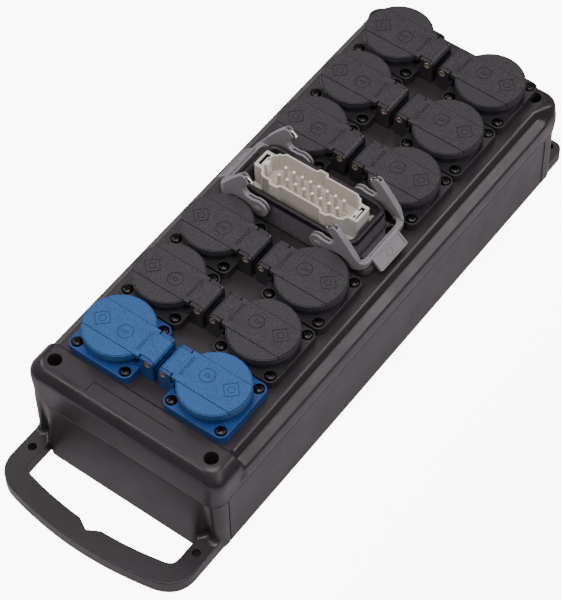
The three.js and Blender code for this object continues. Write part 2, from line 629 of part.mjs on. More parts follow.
box.add(mesh('base_shell', baseShell(), 'rubber'));
box.add(mesh('top_shell', topShell(), 'rubber'));
box.add(mesh('shell_gasket', shellGasket(), 'seal'));
boltPlaces.forEach((place) => box.add(mesh(`shell_bolt_${place.name}`, shellBolt(place), 'darkSteel')));

rowYs.forEach((y, row) => [-1, 1].forEach((side) => box.add(socketUnit(row, side))));

box.add(mesh('inlet_housing', inletHousing(), 'housing'));
box.add(mesh('inlet_gasket', inletGasket(), 'seal'));
box.add(mesh('inlet_rim_seal', rimSeal(), 'seal'));
box.add(mesh('inlet_insert', insertBody(), 'insert'));
inletScrewPlaces.forEach((place) => {
  box.add(mesh(`inlet_screw_${place.name}`, inletScrew(place), 'darkSteel'));
});

[[-1, 'left'], [1, 'right']].forEach(([sx, column]) => {
  box.add(mesh(`earth_clip_${column}`, earthClip(sx), 'steel'));
  box.add(mesh(`lever_${column}`, lever(sx), 'lever'));
  [[-1, 'near'], [1, 'far']].forEach(([sy, row]) => {
    box.add(mesh(`lever_pivot_${row}_${column}`, leverPivot(sx, sy), 'lever'));
  });
});

box.add(mesh('wiring_loom', wiringLoom(), 'cable'));

export default box;
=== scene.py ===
"""Looks of the portable power distribution box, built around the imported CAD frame.

Shapes are made in millimetres in the row frame (+Z up, handle towards -Y) and scaled to metres
when a piece is placed.
"""

import json
import math
import random

import bmesh
import bpy
from mathutils import Matrix, Vector


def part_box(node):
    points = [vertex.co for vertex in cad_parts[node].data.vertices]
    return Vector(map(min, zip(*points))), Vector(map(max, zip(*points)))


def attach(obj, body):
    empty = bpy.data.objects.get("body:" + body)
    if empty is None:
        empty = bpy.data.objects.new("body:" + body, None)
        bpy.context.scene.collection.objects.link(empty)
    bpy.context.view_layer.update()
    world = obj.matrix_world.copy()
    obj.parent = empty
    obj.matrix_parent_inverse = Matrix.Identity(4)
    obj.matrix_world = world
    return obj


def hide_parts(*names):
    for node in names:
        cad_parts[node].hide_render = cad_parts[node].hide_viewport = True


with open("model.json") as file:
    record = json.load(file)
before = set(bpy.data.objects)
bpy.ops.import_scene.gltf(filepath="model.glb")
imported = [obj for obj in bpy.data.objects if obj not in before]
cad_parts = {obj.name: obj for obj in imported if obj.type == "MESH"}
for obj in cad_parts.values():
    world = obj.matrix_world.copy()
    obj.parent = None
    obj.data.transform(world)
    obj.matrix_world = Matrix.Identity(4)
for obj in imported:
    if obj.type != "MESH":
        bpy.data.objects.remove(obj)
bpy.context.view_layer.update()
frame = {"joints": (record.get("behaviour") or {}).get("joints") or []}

MM = 0.001
TAU = 2 * math.pi
random.seed(7)


# ---------------------------------------------------------------- the frame's own dimensions, in mm

def cad(node):
    """Lowest and highest corner of a CAD node in mm."""
    low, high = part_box(node)
    return low / MM, high / MM


BASE_LOW, BASE_HIGH = cad("base_shell")
TOP_LOW, TOP_HIGH = cad("top_shell")
HOUSING_LOW, HOUSING_HIGH = cad("inlet_housing")
INSERT_HIGH = cad("inlet_insert")[1]
SEAL_HIGH = cad("inlet_rim_seal")[1]
LEVER_HIGH = cad("lever_right")[1]
PIN_LOW, PIN_HIGH = cad("lid_pin_right_1")

ROWS = 6
NEAR_Y = TOP_LOW.y                       # near wall at the parting line
FAR_Y = TOP_HIGH.y
PARTING = TOP_LOW.z                      # lower edge of the cover
BLOCK_TOP = TOP_HIGH.z                   # raised block at the handle end
PANEL = BLOCK_TOP - 2.0                  # face that carries the sockets
FLARE = TOP_HIGH.x                       # widest part of the cover
BASE_HALF = BASE_HIGH.x                  # half width of the lower shell
HANDLE_TOP = 11.1                        # handle and far tabs
POST = 7.0                               # radius of the posts round the long bolts
WALL_LEAN = 4.2                          # how far the near wall leans out at its foot
CONTACT_TIP = 110.5                      # top of the inlet's contacts


# ---------------------------------------------------------------- outlines

def arc(cx, cy, radius, start, end, steps):
    """Points on a circle from start to end, in degrees, both included."""
    points = []
    for i in range(steps + 1):
        a = math.radians(start + (end - start) * i / steps)
        points.append((cx + radius * math.cos(a), cy + radius * math.sin(a)))
    return points


def circle(cx, cy, radius, steps=32):
    return arc(cx, cy, radius, 0, 360, steps)[:-1]


def rounded_rect(x0, y0, x1, y1, radius, steps=6):
    r = radius
    return (arc(x1 - r, y0 + r, r, -90, 0, steps) + arc(x1 - r, y1 - r, r, 0, 90, steps)
            + arc(x0 + r, y1 - r, r, 90, 180, steps) + arc(x0 + r, y0 + r, r, 180, 270, steps))


def centred(hx, hy, radius, steps=6):
    return rounded_rect(-hx, -hy, hx, hy, radius, steps)


def bezier(p0, p1, p2, p3, steps):
    """Cubic curve without its first point."""
    points = []
    for i in range(1, steps + 1):
        t = i / steps
        u = 1 - t
        points.append(tuple(
            u ** 3 * a + 3 * u * u * t * b + 3 * u * t * t * c + t ** 3 * d
            for a, b, c, d in zip(p0, p1, p2, p3)
        ))
    return points


def fillet_corners(points, radius, steps=4):
    """A polygon with each corner rounded; radius is one number or one per corner."""
    out = []
    count = len(points)
    for i, corner in enumerate(points):
        r = radius[i] if isinstance(radius, (list, tuple)) else radius
        p, a, b = Vector(corner), Vector(points[i - 1]), Vector(points[(i + 1) % count])
        to_a, to_b = a - p, b - p
        reach = min(r, to_a.length * 0.45, to_b.length * 0.45)
        if reach < 0.02:
            out.append(tuple(p))
            continue
        start, end = p + to_a.normalized() * reach, p + to_b.normalized() * reach
        for s in range(steps + 1):
            t = s / steps
            out.append(tuple(start * (1 - t) ** 2 + p * 2 * t * (1 - t) + end * t * t))
    return out


def inset(points, distance):
    """The outline moved inwards by a distance, keeping its point count."""
    count = len(points)
    moved = []
    for i in range(count):
        p = Vector(points[i])
        before = p - Vector(points[i - 1])
        after = Vector(points[(i + 1) % count]) - p
        n1 = Vector((-before.y, before.x)).normalized()
        n2 = Vector((-after.y, after.x)).normalized()
        n = n1 + n2
        if n.length < 1e-6:
            n = n1
        n.normalize()
        stretch = 1 / max(0.5, n.dot(n1))
        moved.append(tuple(p + n * distance * stretch))
    return moved


# ---------------------------------------------------------------- meshes

def new_mesh(bm):
    bmesh.ops.recalc_face_normals(bm, faces=bm.faces)
    mesh = bpy.data.meshes.new("piece")
    bm.to_mesh(mesh)
    bm.free()
    return mesh


def skin(bm, rings, wrap=False):
    """Walls between neighbouring rings of equal point count; gives back the rings' vertices."""
    made = [[bm.verts.new(p) for p in ring] for ring in rings]
    above = made[1:] + made[:1] if wrap else made[1:]
    for low, high in zip(made, above):
        for i in range(len(low)):
            j = (i + 1) % len(low)
            bm.faces.new((low[i], low[j], high[j], high[i]))
    return made


def loft(rings):
    """A solid through rings of equal point count."""
    bm = bmesh.new()
    made = skin(bm, rings)
    bm.faces.new(list(reversed(made[0])))
    bm.faces.new(made[-1])
    return new_mesh(bm)


def rise(size, steps=4):
    """Inset and height of a quarter-round edge, from its lower end up."""
    return [(size * (1 - math.cos(a)), size * math.sin(a))
            for a in (math.pi / 2 * i / steps for i in range(steps + 1))]


def slab(outline, z0, z1, top=0.0, bottom=0.0, steps=4, taper=0.0):
    """A plate with rounded top and bottom edges."""
    rings = []
    if bottom:
        for inward, up in reversed(rise(bottom, steps)):
            rings.append([(x, y, z0 + bottom - up) for x, y in inset(outline, inward)])
    else:
        rings.append([(x, y, z0) for x, y in outline])
    crown = inset(outline, taper) if taper else outline
    if top:
        for inward, up in rise(top, steps):
            rings.append([(x, y, z1 - top + up) for x, y in inset(crown, inward)])
    else:
        rings.append([(x, y, z1) for x, y in crown])
    return loft(rings)


def lathe(profile, steps=48):
    """A closed profile of (radius, height) turned about Z; a radius of 0 is a pole."""
    bm = bmesh.new()
    rings = []
    for r, z in profile:
        if r < 1e-6:
            rings.append([bm.verts.new((0, 0, z))])
        else:
            rings.append([bm.verts.new((r * math.cos(TAU * i / steps), r * math.sin(TAU * i / steps), z))
                          for i in range(steps)])
    pairs = list(zip(rings, rings[1:]))
    if len(rings[0]) > 1 and len(rings[-1]) > 1:
        pairs.append((rings[-1], rings[0]))
    for low, high in pairs:
        if len(low) == 1 and len(high) == 1:
            continue
        for i in range(steps):
            j = (i + 1) % steps
            if len(low) == 1:
                bm.faces.new((low[0], high[j], high[i]))
            elif len(high) == 1:
                bm.faces.new((low[i], low[j], high[0]))
            else:
                bm.faces.new((low[i], low[j], high[j], high[i]))
    return new_mesh(bm)


def tube_mesh(path, radius, steps=12):
    """A round bar along a path of points, with closed ends."""
    points = [Vector(p) for p in path]
    rings = []
    side = None
    for i, p in enumerate(points):
        ahead = points[min(i + 1, len(points) - 1)] - points[max(i - 1, 0)]
        ahead.normalize()
        if side is None:
            side = ahead.orthogonal().normalized()
        side = (side - ahead * side.dot(ahead)).normalized()
        up = ahead.cross(side)
        rings.append([tuple(p + (side * math.cos(TAU * k / steps) + up * math.sin(TAU * k / steps)) * radius)
                      for k in range(steps)])
    return loft(rings)


def moved(mesh, matrix):
    mesh.transform(matrix)
    if matrix.determinant() < 0:
        mesh.flip_normals()
    return mesh


def shift(mesh, x=0.0, y=0.0, z=0.0):
    return moved(mesh, Matrix.Translation((x, y, z)))


def along_y(mesh):
    """Turns a shape drawn in X and Y and raised along Z so that it is drawn in X and Z and lies along Y."""
    return moved(mesh, Matrix(((1, 0, 0, 0), (0, 0, -1, 0), (0, 1, 0, 0), (0, 0, 0, 1))))


def cylinder(x, y, z0, z1, radius, steps=32, edge=0.0):
    return slab(circle(x, y, radius, steps), z0, z1, top=edge, bottom=edge, steps=3)


def box(x0, y0, z0, x1, y1, z1, edge=0.0, corner=0.0):
    """A block between two corners, which may come in either order in X and in Y."""
    x0, x1 = sorted((x0, x1))
    y0, y1 = sorted((y0, y1))
    outline = rounded_rect(x0, y0, x1, y1, corner, 3) if corner else [(x0, y0), (x1, y0), (x1, y1), (x0, y1)]
    return slab(outline, z0, z1, top=edge, bottom=edge, steps=3)


def add_object(name, data):
    made = bpy.data.objects.new(name, data)
    bpy.context.scene.collection.objects.link(made)
    return made


def boolean(base, tools, operation):
    """Joins to, or cuts from, one mesh a list of closed meshes."""
    holder = add_object("holder", base)
    made = []
    for tool in tools:
        other = add_object("tool", tool)
        step = holder.modifiers.new("step", "BOOLEAN")
        step.operation = operation
        step.solver = "MANIFOLD"
        step.object = other
        made.append(other)
    graph = bpy.context.evaluated_depsgraph_get()
    result = bpy.data.meshes.new_from_object(holder.evaluated_get(graph))
    for other in made + [holder]:
        mesh = other.data
        bpy.data.objects.remove(other)
        bpy.data.meshes.remove(mesh)
    return result


def join(base, *tools):
    return boolean(base, tools, "UNION")


def cut(base, *tools):
    return boolean(base, tools, "DIFFERENCE")


def smooth(mesh, angle=32):
    """Smooth shading, with edges sharper than the angle kept crisp."""
    mesh.shade_smooth()
    mesh.set_sharp_from_angle(angle=math.radians(angle))
    return mesh


def place(name, mesh, body, material, replaces=(), matrix=None):
    """Puts a mesh, drawn in mm, into the scene as a piece that rides on a body."""
    piece = add_object(name, mesh)
    piece.matrix_world = matrix or Matrix.Identity(4)
    if not mesh.materials:
        mesh.materials.append(material)
    piece.material_slots[0].link = "OBJECT"
    piece.material_slots[0].material = material
    even = piece.modifiers.new("even_shading", "WEIGHTED_NORMAL")
    even.keep_sharp = True
    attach(piece, body)
    if replaces:
        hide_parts(*replaces)
    return piece


def at_mm(x, y, z=0.0):
    return Matrix.Translation((x * MM, y * MM, z * MM))


def to_metres(mesh, angle=32):
    mesh.transform(Matrix.Scale(MM, 4))
    return smooth(mesh, angle)


# ---------------------------------------------------------------- materials

class Nodes:
    """Short names for the shader nodes that the finishes share."""

    def __init__(self, name):
        self.material = bpy.data.materials.new(name)
        self.material.use_nodes = True
        self.tree = self.material.node_tree
        self.shader = self.tree.nodes["Principled BSDF"]
        self.coords = self.add("ShaderNodeTexCoord").outputs["Object"]

    def add(self, kind, **settings):
        node = self.tree.nodes.new(kind)
        for key, value in settings.items():
            if key in node.inputs:
                node.inputs[key].default_value = value
            else:
                setattr(node, key, value)
        return node

    def link(self, output, node, key):
        self.tree.links.new(output, node.inputs[key])

    def feed(self, value, node, key):
        """Links an output, or sets a number or a colour."""
        if isinstance(value, (int, float, tuple)):
            node.inputs[key].default_value = value
        else:
            self.link(value, node, key)

    def noise(self, scale, detail=3.0, rough=0.6, vector=None):
        node = self.add("ShaderNodeTexNoise", Scale=scale, Detail=detail, Roughness=rough)
        self.link(vector or self.coords, node, "Vector")
        return node.outputs["Fac"]

    def ramp(self, value, low, high, a=0.0, b=1.0):
        node = self.add("ShaderNodeMapRange")
        for key, number in (("From Min", low), ("From Max", high), ("To Min", a), ("To Max", b)):
            node.inputs[key].default_value = number
        self.link(value, node, "Value")
        return node.outputs["Result"]

    def mix(self, factor, a, b):
        node = self.add("ShaderNodeMix", data_type="RGBA")
        for key, value in ((0, factor), (6, a), (7, b)):
            self.feed(value, node, key)
        return node.outputs[2]

    def math(self, operation, a, b):
        node = self.add("ShaderNodeMath", operation=operation)
        self.feed(a, node, 0)
        self.feed(b, node, 1)
        return node.outputs[0]

    def edge_mask(self, radius):
        """High where the surface turns within the radius."""
        bevel = self.add("ShaderNodeBevel", Radius=radius, samples=4)
        geometry = self.add("ShaderNodeNewGeometry")
        dot = self.add("ShaderNodeVectorMath", operation="DOT_PRODUCT")
        self.link(bevel.outputs[0], dot, 0)
        self.link(geometry.outputs["Normal"], dot, 1)
        return self.ramp(dot.outputs["Value"], 0.985, 0.80)

    def surface(self, colour, roughness, height=None, strength=0.3, distance=0.0001, edge_round=0.0002):
        self.link(colour, self.shader, "Base Color")
        self.link(roughness, self.shader, "Roughness")
        bevel = self.add("ShaderNodeBevel", Radius=edge_round, samples=4)
        normal = bevel.outputs[0]
        if height is not None:
            bump = self.add("ShaderNodeBump", Strength=strength, Distance=distance)
            self.link(height, bump, "Height")
            self.link(normal, bump, "Normal")
            normal = bump.outputs["Normal"]
        self.link(normal, self.shader, "Normal")
        return self.material


def shade(colour, factor):
    return tuple(c * factor for c in colour[:3]) + (1.0,)


def moulded(name, colour, rough, grain, relief, wear=0.35, dust=0.0, speckle=0.1):
    """Moulded rubber or plastic: fine grain, slow tone changes, paler rubbed edges, sparse dust."""
    n = Nodes(name)
    tone = n.ramp(n.noise(18.0), 0.3, 0.7)
    base = n.mix(tone, shade(colour, 0.92), shade(colour, 1.08))
    each = n.add("ShaderNodeObjectInfo").outputs["Random"]
    base = n.mix(n.math("MULTIPLY", each, 0.5), base, shade(colour, 0.94))
    pits = n.ramp(n.noise(900.0, 2.0, 0.7), 0.35, 0.65, -speckle, speckle)
    grey = n.math("ADD", pits, 1.0)
    lit = n.add("ShaderNodeVectorMath", operation="SCALE")
    n.link(base, lit, 0)
    n.link(grey, lit, "Scale")
    base = lit.outputs[0]
    rub = n.math("MULTIPLY", n.edge_mask(0.0007), n.ramp(n.noise(60.0), 0.35, 0.75, 0.25, 1.0))
    base = n.mix(n.math("MULTIPLY", rub, wear), base, shade(tuple(c + 0.04 for c in colour), 1.5))
    if dust:
        specks = n.ramp(n.noise(420.0, 2.0, 0.5), 0.76, 0.80)
        base = n.mix(n.math("MULTIPLY", specks, dust), base, (0.35, 0.34, 0.33, 1.0))
    blotch = n.ramp(n.noise(35.0), 0.3, 0.7, rough - 0.05, rough + 0.07)
    fine = n.noise(grain, 2.0, 0.55)
    roughness = n.math("ADD", blotch, n.ramp(fine, 0.3, 0.7, -0.03, 0.03))
    return n.surface(base, roughness, fine, relief)


def metal(name, colour, rough, metallic=1.0):
    """Bare or blackened metal with fine draw lines and slight staining."""
    n = Nodes(name)
    stretch = n.add("ShaderNodeMapping")
    stretch.inputs["Scale"].default_value = (1.0, 0.08, 1.0)
    n.link(n.coords, stretch, "Vector")
    lines = n.noise(900.0, 3.0, 0.6, stretch.outputs["Vector"])
    base = n.mix(n.ramp(n.noise(160.0), 0.35, 0.7), shade(colour, 0.72), shade(colour, 1.1))
    roughness = n.ramp(lines, 0.3, 0.7, rough - 0.06, rough + 0.1)
    n.shader.inputs["Metallic"].default_value = metallic
    return n.surface(base, roughness, lines, 0.12, 0.00005, 0.00012)


RUBBER = moulded("solid_rubber", (0.030, 0.026, 0.029), rough=0.33, grain=2600.0, relief=0.10,
                 wear=0.30, dust=0.35)
BLACK = moulded("black_socket_plastic", (0.037, 0.034, 0.038), rough=0.48, grain=1500.0, relief=0.75,
                speckle=0.45)
BLACK_BODY = moulded("black_socket_body", (0.026, 0.023, 0.027), rough=0.34, grain=2400.0, relief=0.20,
                     speckle=0.15)
BLUE = moulded("blue_socket_plastic", (0.020, 0.105, 0.290), rough=0.46, grain=1500.0, relief=0.55,
               wear=0.25, speckle=0.22)
BLUE_BODY = moulded("blue_socket_body", (0.014, 0.064, 0.235), rough=0.36, grain=2400.0, relief=0.20,
                    wear=0.25)
SEAL = moulded("black_elastomer", (0.014, 0.012, 0.015), rough=0.36, grain=1800.0, relief=0.10, wear=0.20)
HOUSING = moulded("dark_grey_coat", (0.115, 0.106, 0.115), rough=0.45, grain=1400.0, relief=0.45,
                  speckle=0.35)
LEVER = moulded("grey_lever_plastic", (0.240, 0.231, 0.240), rough=0.38, grain=2600.0, relief=0.08,
                wear=0.30)
INSERT = moulded("beige_insert_plastic", (0.58, 0.555, 0.48), rough=0.42, grain=2400.0, relief=0.08,
                 wear=0.30, speckle=0.05)
CABLE = moulded("cable_sheath", (0.014, 0.014, 0.015), rough=0.60, grain=1500.0, relief=0.10, wear=0.20)


def contact_metal():
    """Pale plated pin; its brighter tip is a painted highlight."""
    n = Nodes("plated_contact")
    parts = n.add("ShaderNodeSeparateXYZ")
    n.link(n.coords, parts, "Vector")
    # Painted highlight: the colour turns near white over the last 1.3 mm below the tip.
    tip = n.ramp(parts.outputs["Z"], (CONTACT_TIP - 1.3) * MM, (CONTACT_TIP - 0.7) * MM)
    body = n.mix(n.ramp(n.noise(60.0), 0.35, 0.7), (0.62, 0.56, 0.49, 1.0), (0.68, 0.61, 0.53, 1.0))
    n.shader.inputs["Metallic"].default_value = 0.35
    return n.surface(n.mix(tip, body, (0.95, 0.93, 0.98, 1.0)), n.ramp(n.noise(30.0), 0.3, 0.7, 0.24, 0.30))


STEEL = metal("plain_steel", (0.62, 0.59, 0.55), 0.26)
PIN_STEEL = metal("hinge_pin_steel", (0.56, 0.45, 0.34), 0.28, metallic=0.6)
PLATE_STEEL = metal("earth_plate_steel", (0.93, 0.91, 0.90), 0.30, metallic=0.25)
TIN = contact_metal()
DARK_STEEL = metal("blackened_steel", (0.055, 0.052, 0.050), 0.34)


# ---------------------------------------------------------------- enclosure

END_SHARES = [0.008, 0.016, 0.025, 0.035, 0.045, 0.055, 0.065, 0.075, 0.085, 0.1, 0.13]
WALL_SHARES = END_SHARES + [0.2, 0.3, 0.4, 0.5, 0.6, 0.7, 0.8] + [1 - t for t in reversed(END_SHARES)]
COVER_STATIONS = [-186, -182, -179, -177.4, -177, -176.6, -176.2, -175.8, -175.2, -173.5, -171.5, -169]
COVER_STATIONS += [-160 + 20 * i for i in range(16)] + [148, 154, 158, 161, 163.5]
BASE_STATIONS = [-190] + [-180 + 20 * i for i in range(18)] + [170]
CORNER_STEPS = 8


def perimeter(half, near, far, near_round, far_round, stations):
    """Counter-clockwise plan: near side, right side by stations, far side, left side by stations."""
    n, f, steps = near_round, far_round, CORNER_STEPS
    near_side = [(-half + n + (2 * half - 2 * n) * t, near) for t in WALL_SHARES]
    far_side = [(half - f - (2 * half - 2 * f) * t, far) for t in WALL_SHARES]
    right = [(half, y) for y in stations]
    left = [(-half, y) for y in reversed(stations)]
    return (near_side + arc(half - n, near + n, n, -90, 0, steps) + right
            + arc(half - f, far - f, f, 0, 90, steps) + far_side
            + arc(-half + f, far - f, f, 90, 180, steps) + left
            + arc(-half + n, near + n, n, 180, 270, steps))


def ease(t):
    t = min(1.0, max(0.0, t))
    return t * t * (3 - 2 * t)


COVER_CORNER = 10.0
BLOCK_HALF = 76.3
BLOCK_STEP = (-177.4, 4.4)               # where the raised block falls to the side shelf: start and run
FAR_BLEND = (157.0, 14.0)                # where the side shelf runs out into the far corner

# The long side in section: parting edge, outward flare, steep wall, sloping shelf, valley, ridge, panel.
SIDE_SECTION = fillet_corners(
    [(BASE_HALF, PARTING), (75.5, 52.6), (FLARE, 57.5), (FLARE, 66.4), (77.3, 67.5), (77.1, 68.7),
     (76.4, 69.5), (71.9, 73.2), (70.7, 73.8), (69.1, 78.9), (67.4, PANEL), (66.0, PANEL)],
    [0, 1.5, 3, 0.8, 0.6, 0.6, 0.8, 0.8, 0.8, 0.8, 0.8, 0], 4)


def resample(path, count):
    """Points spread evenly along an open path."""
    spans = [math.dist(a, b) for a, b in zip(path, path[1:])]
    total = sum(spans)
    points = []
    for k in range(count):
        want = total * k / (count - 1)
        i = 0
        while i < len(spans) - 1 and want > spans[i]:
            want -= spans[i]
            i += 1
        t = want / spans[i]
        points.append(tuple(a + (b - a) * t for a, b in zip(path[i], path[i + 1])))
    return points


def end_section(profile, bulge_z, bulge, settle):
    """An end of the cover in section, as (height, side inset, end inset) from its widest lines."""
    levels = []
    for z, inward in resample(profile, len(SIDE_SECTION)):
        swell = math.exp(-((z - bulge_z) / 9.0) ** 2)
        levels.append((z, (bulge if z < bulge_z else settle) * (1 - swell) + inward, inward))
    return levels


NEAR_PROFILE = [(PARTING, 0), (71.5, 0), (73.6, 0.15), (75.4, 0.6), (77.4, 1.9), (79.7, 3.7), (81.0, 5.0),
                (81.8, 6.6), (82.2, 8.3), (BLOCK_TOP, 10.0)]
FAR_CROWN = [(6.5, 0.6), (4.6, 0.93), (2.9, 1.8), (1.6, 3.2), (0.7, 5.0), (0, 8.1)]
FAR_PROFILE = [(PARTING, 0), (66, 0.3)] + [(PANEL - fall, inward) for fall, inward in FAR_CROWN]
NEAR_SECTION = end_section(NEAR_PROFILE, 70.0, 1.3, 0.0)
FAR_SECTION = end_section(FAR_PROFILE, 62.5, 1.5, 1.0)


def cover_ring(level, side_point):
    """One level round the cover: the side section along the box, the end sections at its ends."""
    near_z, near_side, near_end = NEAR_SECTION[level]
    far_z, far_side, far_end = FAR_SECTION[level]
    near_y, far_y = NEAR_Y + near_end, FAR_Y - far_end
    near_round = min(COVER_CORNER, COVER_STATIONS[0] - 0.2 - near_y)
    far_round = min(COVER_CORNER, far_y - COVER_STATIONS[-1] - 0.2)
    half = BLOCK_HALF - near_side
    ring = []
    for x, y in perimeter(half, near_y, far_y, near_round, far_round, COVER_STATIONS):
        if y < 0:
            to_side = ease((y - BLOCK_STEP[0]) / BLOCK_STEP[1])
            end_x, end_z = half, near_z
        else:
            to_side = 1 - ease((y - FAR_BLEND[0]) / FAR_BLEND[1])
            end_x, end_z = FLARE - 0.1 - far_side, far_z
        width = end_x + (side_point[0] - end_x) * to_side
        z = end_z + (side_point[1] - end_z) * to_side
        ring.append((x * width / half, y, z))
    return ring


def cover_solid():
    """The cover's outside: a skin lofted up to the panel, which is closed across by strips."""
    bm = bmesh.new()
    made = skin(bm, [cover_ring(level, side) for level, side in enumerate(SIDE_SECTION)])
    bm.faces.new(list(reversed(made[0])))
    top = made[-1]
    round_points = CORNER_STEPS + 1
    corner = len(WALL_SHARES) + round_points
    far_corner = corner + len(COVER_STATIONS)
    right = top[corner:far_corner]
    left_start = far_corner + round_points + len(WALL_SHARES) + round_points
    left = list(reversed(top[left_start:left_start + len(COVER_STATIONS)]))
    first, last = COVER_STATIONS.index(BLOCK_STEP[0]), COVER_STATIONS.index(-175.2)
    bm.faces.new(top[:corner] + right[:first + 1] + list(reversed(left[:first + 1]))
                 + top[left_start + len(COVER_STATIONS):])
    bm.faces.new(right[last:] + top[far_corner:left_start] + list(reversed(left[last:])))
    for i in range(first, last):
        bm.faces.new((left[i], right[i], right[i + 1], left[i + 1]))
    return new_mesh(bm)


def four_centres(kind):
    """Middles of the four CAD nodes of a kind, by corner."""
    corners = ("near_left", "near_right", "far_left", "far_right")
    return {name: sum(cad(f"{kind}_{name}"), Vector()) / 2 for name in corners}


BOLTS = four_centres("shell_bolt")


def hinge_pins():
    """Each socket's side of the box and the middle of its hinge pin."""
    pins = {}
    for row in range(1, ROWS + 1):
        for column, side in (("left", -1), ("right", 1)):
            low, high = cad(f"lid_pin_{column}_{row}")
            pins[f"{column}_{row}"] = (side, (low + high) / 2)
    return pins


SOCKETS = hinge_pins()


def socket_centre(key):
    """The axis of a socket: its hinge pin lies PIN_X from it, towards the middle of the box."""
    side, pin = SOCKETS[key]
    return side, Vector((pin.x + side * PIN_X, pin.y, PANEL))


COVER_WALL = 4.0


def label_field_cuts():
    """Blank label field on the raised block, with two fine lines beside it."""
    x0, y0, x1, y1 = -31.6, NEAR_Y + 5.2, 31.0, -184.7
    return [box(x0, y0, BLOCK_TOP - 0.25, x1, y1, BLOCK_TOP + 3),
            box(x0, y1 - 0.45, BLOCK_TOP - 0.9, x1, y1, BLOCK_TOP + 3),
            box(x0, y0 + 1, BLOCK_TOP - 0.9, x0 + 0.4, y1, BLOCK_TOP + 3)]


def cover_openings():
    """Screw tunnels, socket holes and the inlet's opening."""
    tools = []
    for p in BOLTS.values():
        level = BLOCK_TOP if p.y < 0 else PANEL
        tunnel = [(0, 60.7), (4.5, 60.7), (4.5, level - 0.5), (4.9, level + 0.05), (6.5, 90), (0, 90)]
        tools.append(lathe_at(tunnel, p))
        tools.append(cylinder(p.x, p.y, PARTING - 1, 62, 2.7))
    low = PANEL - COVER_WALL - 2
    centres = [socket_centre(key)[1] for key in SOCKETS]
    tools += [cylinder(c.x, c.y, low, PANEL + 4, 21.5, 48) for c in centres]
    return tools + [slab(centred(43, 17, 3), low, PANEL + 4)]


def top_shell():
    wall = COVER_WALL
    cavity = slab(rounded_rect(-71, NEAR_Y + wall, 71, FAR_Y - wall, 6), PARTING - 2, 66.5, top=2)
    upper = box(-65.8, NEAR_Y + 9, 60, 65.8, FAR_Y - 9, PANEL - wall, edge=1, corner=4)
    hollow = cut(cover_solid(), join(cavity, upper))
    posts = [cylinder(p.x, p.y, PARTING + 0.1, PANEL - 1, POST) for p in BOLTS.values()]
    return cut(join(hollow, *posts), *cover_openings(), *label_field_cuts())


def lathe_at(profile, p):
    return shift(lathe(profile, 32), p.x, p.y)


def base_ring(z, tuck):
    """One level of the lower shell. The near wall leans out towards its foot between the corner columns."""
    fall = 1 - z / PARTING
    corner = 9.0 - tuck
    ring = []
    for x, y in perimeter(BASE_HALF - tuck, NEAR_Y + tuck, FAR_Y - tuck, corner, corner, BASE_STATIONS):
        if y < NEAR_Y + 5:
            reach = 1 - ease((abs(x) - 56) / 8)
            valley = math.exp(-((abs(x) - 65.0) / 3.2) ** 2)
            y += -WALL_LEAN * fall * reach + (0.9 + 3.4 * fall) * valley
        ring.append((x, y, z))
    return ring


def handle_outline():
    front = BASE_LOW.y
    right = [(74.2, NEAR_Y + 12), (74.2, -224)]
    right += bezier((74.2, -224), (74.2, -233.8), (69, -241.4), (57, front + 6.4), 10)
    right += bezier((57, front + 6.4), (38, front + 2.2), (18, front), (0, front), 10)
    left = [(-x, y) for x, y in reversed(right[:-1])]
    return list(reversed(right + left))


def grip_outline():
    """The hand opening, with the hanging notch in its far edge from the wall."""
    right = [(60.1, -203.0), (60.1, -222.5)]
    right += bezier((60.1, -222.5), (60.1, -227.2), (57.4, -229.0), (51, -229.9), 8)
    right += bezier((51, -229.9), (36, -233.2), (22, -234.6), (8.6, -235.3), 8)
    right += [(0, -240.1)]
    left = [(-x, y) for x, y in reversed(right[:-1])]
    return list(reversed(right + left))


def foot_fillets():
    """Concave webs where the handle's arms run into the wall."""
    reach, levels = 5.0, 10
    rings = [base_ring(HANDLE_TOP - 2, -reach)]
    for i in range(levels + 1):
        a = math.pi / 2 * i / levels
        out, up = reach * (1 - math.sin(a)) - 0.3, reach * (1 - math.cos(a)) - 0.05
        rings.append(base_ring(HANDLE_TOP + up, -out))
    skirt = loft(rings)
    half = 6.4
    arms = [box(x - half, NEAR_Y - 14, 0, x + half, NEAR_Y + 6, 30) for x in (-67.2, 67.2)]
    return boolean(skirt, [join(*arms)], "INTERSECT")


def side_panel_cuts():
    """Shallow long recess on each side of the lower shell, with a fine gap at its near end."""
    near, far, top = -188.9, 166.7, 47.4
    tools = []
    for side in (-1, 1):
        deep, out = side * (BASE_HALF - 0.45), side * (BASE_HALF + 3)
        tools.append(box(deep, near, -1, out, far, top))
        gap = side * (BASE_HALF - 2.6)
        tools.append(box(gap, near - 0.2, -1, out, near + 1.2, top + 0.6))
        tools.append(box(gap, near - 0.2, top - 0.5, out, near + 4.6, top + 0.7))
        shallow = side * (BASE_HALF - 0.9)
        tools.append(box(shallow, near, top - 0.4, out, far, top + 0.02))
    return tools


def handle_mesh():
    """The flat carrying loop with its hand opening."""
    loop = slab(handle_outline(), 0, HANDLE_TOP, top=0.9, bottom=0.9, steps=4)
    levels = [(-1, -0.8), (0.0, -0.8), (0.8, 0), (HANDLE_TOP - 0.8, 0), (HANDLE_TOP - 0.24, -0.24),
              (HANDLE_TOP + 0.02, -0.8), (HANDLE_TOP + 2, -0.8)]
    return cut(loop, loft([[(x, y, z) for x, y in inset(grip_outline(), depth)] for z, depth in levels]))


def far_tabs():
    tabs = []
    for side in (-1, 1):
        x0, x1 = sorted((side * 48, side * 73.6))
        outline = rounded_rect(x0, FAR_Y - 14, x1, BASE_HIGH.y, 7, 8)
        tabs.append(slab(outline, 0, HANDLE_TOP, top=1.2, bottom=0.9))
    return tabs


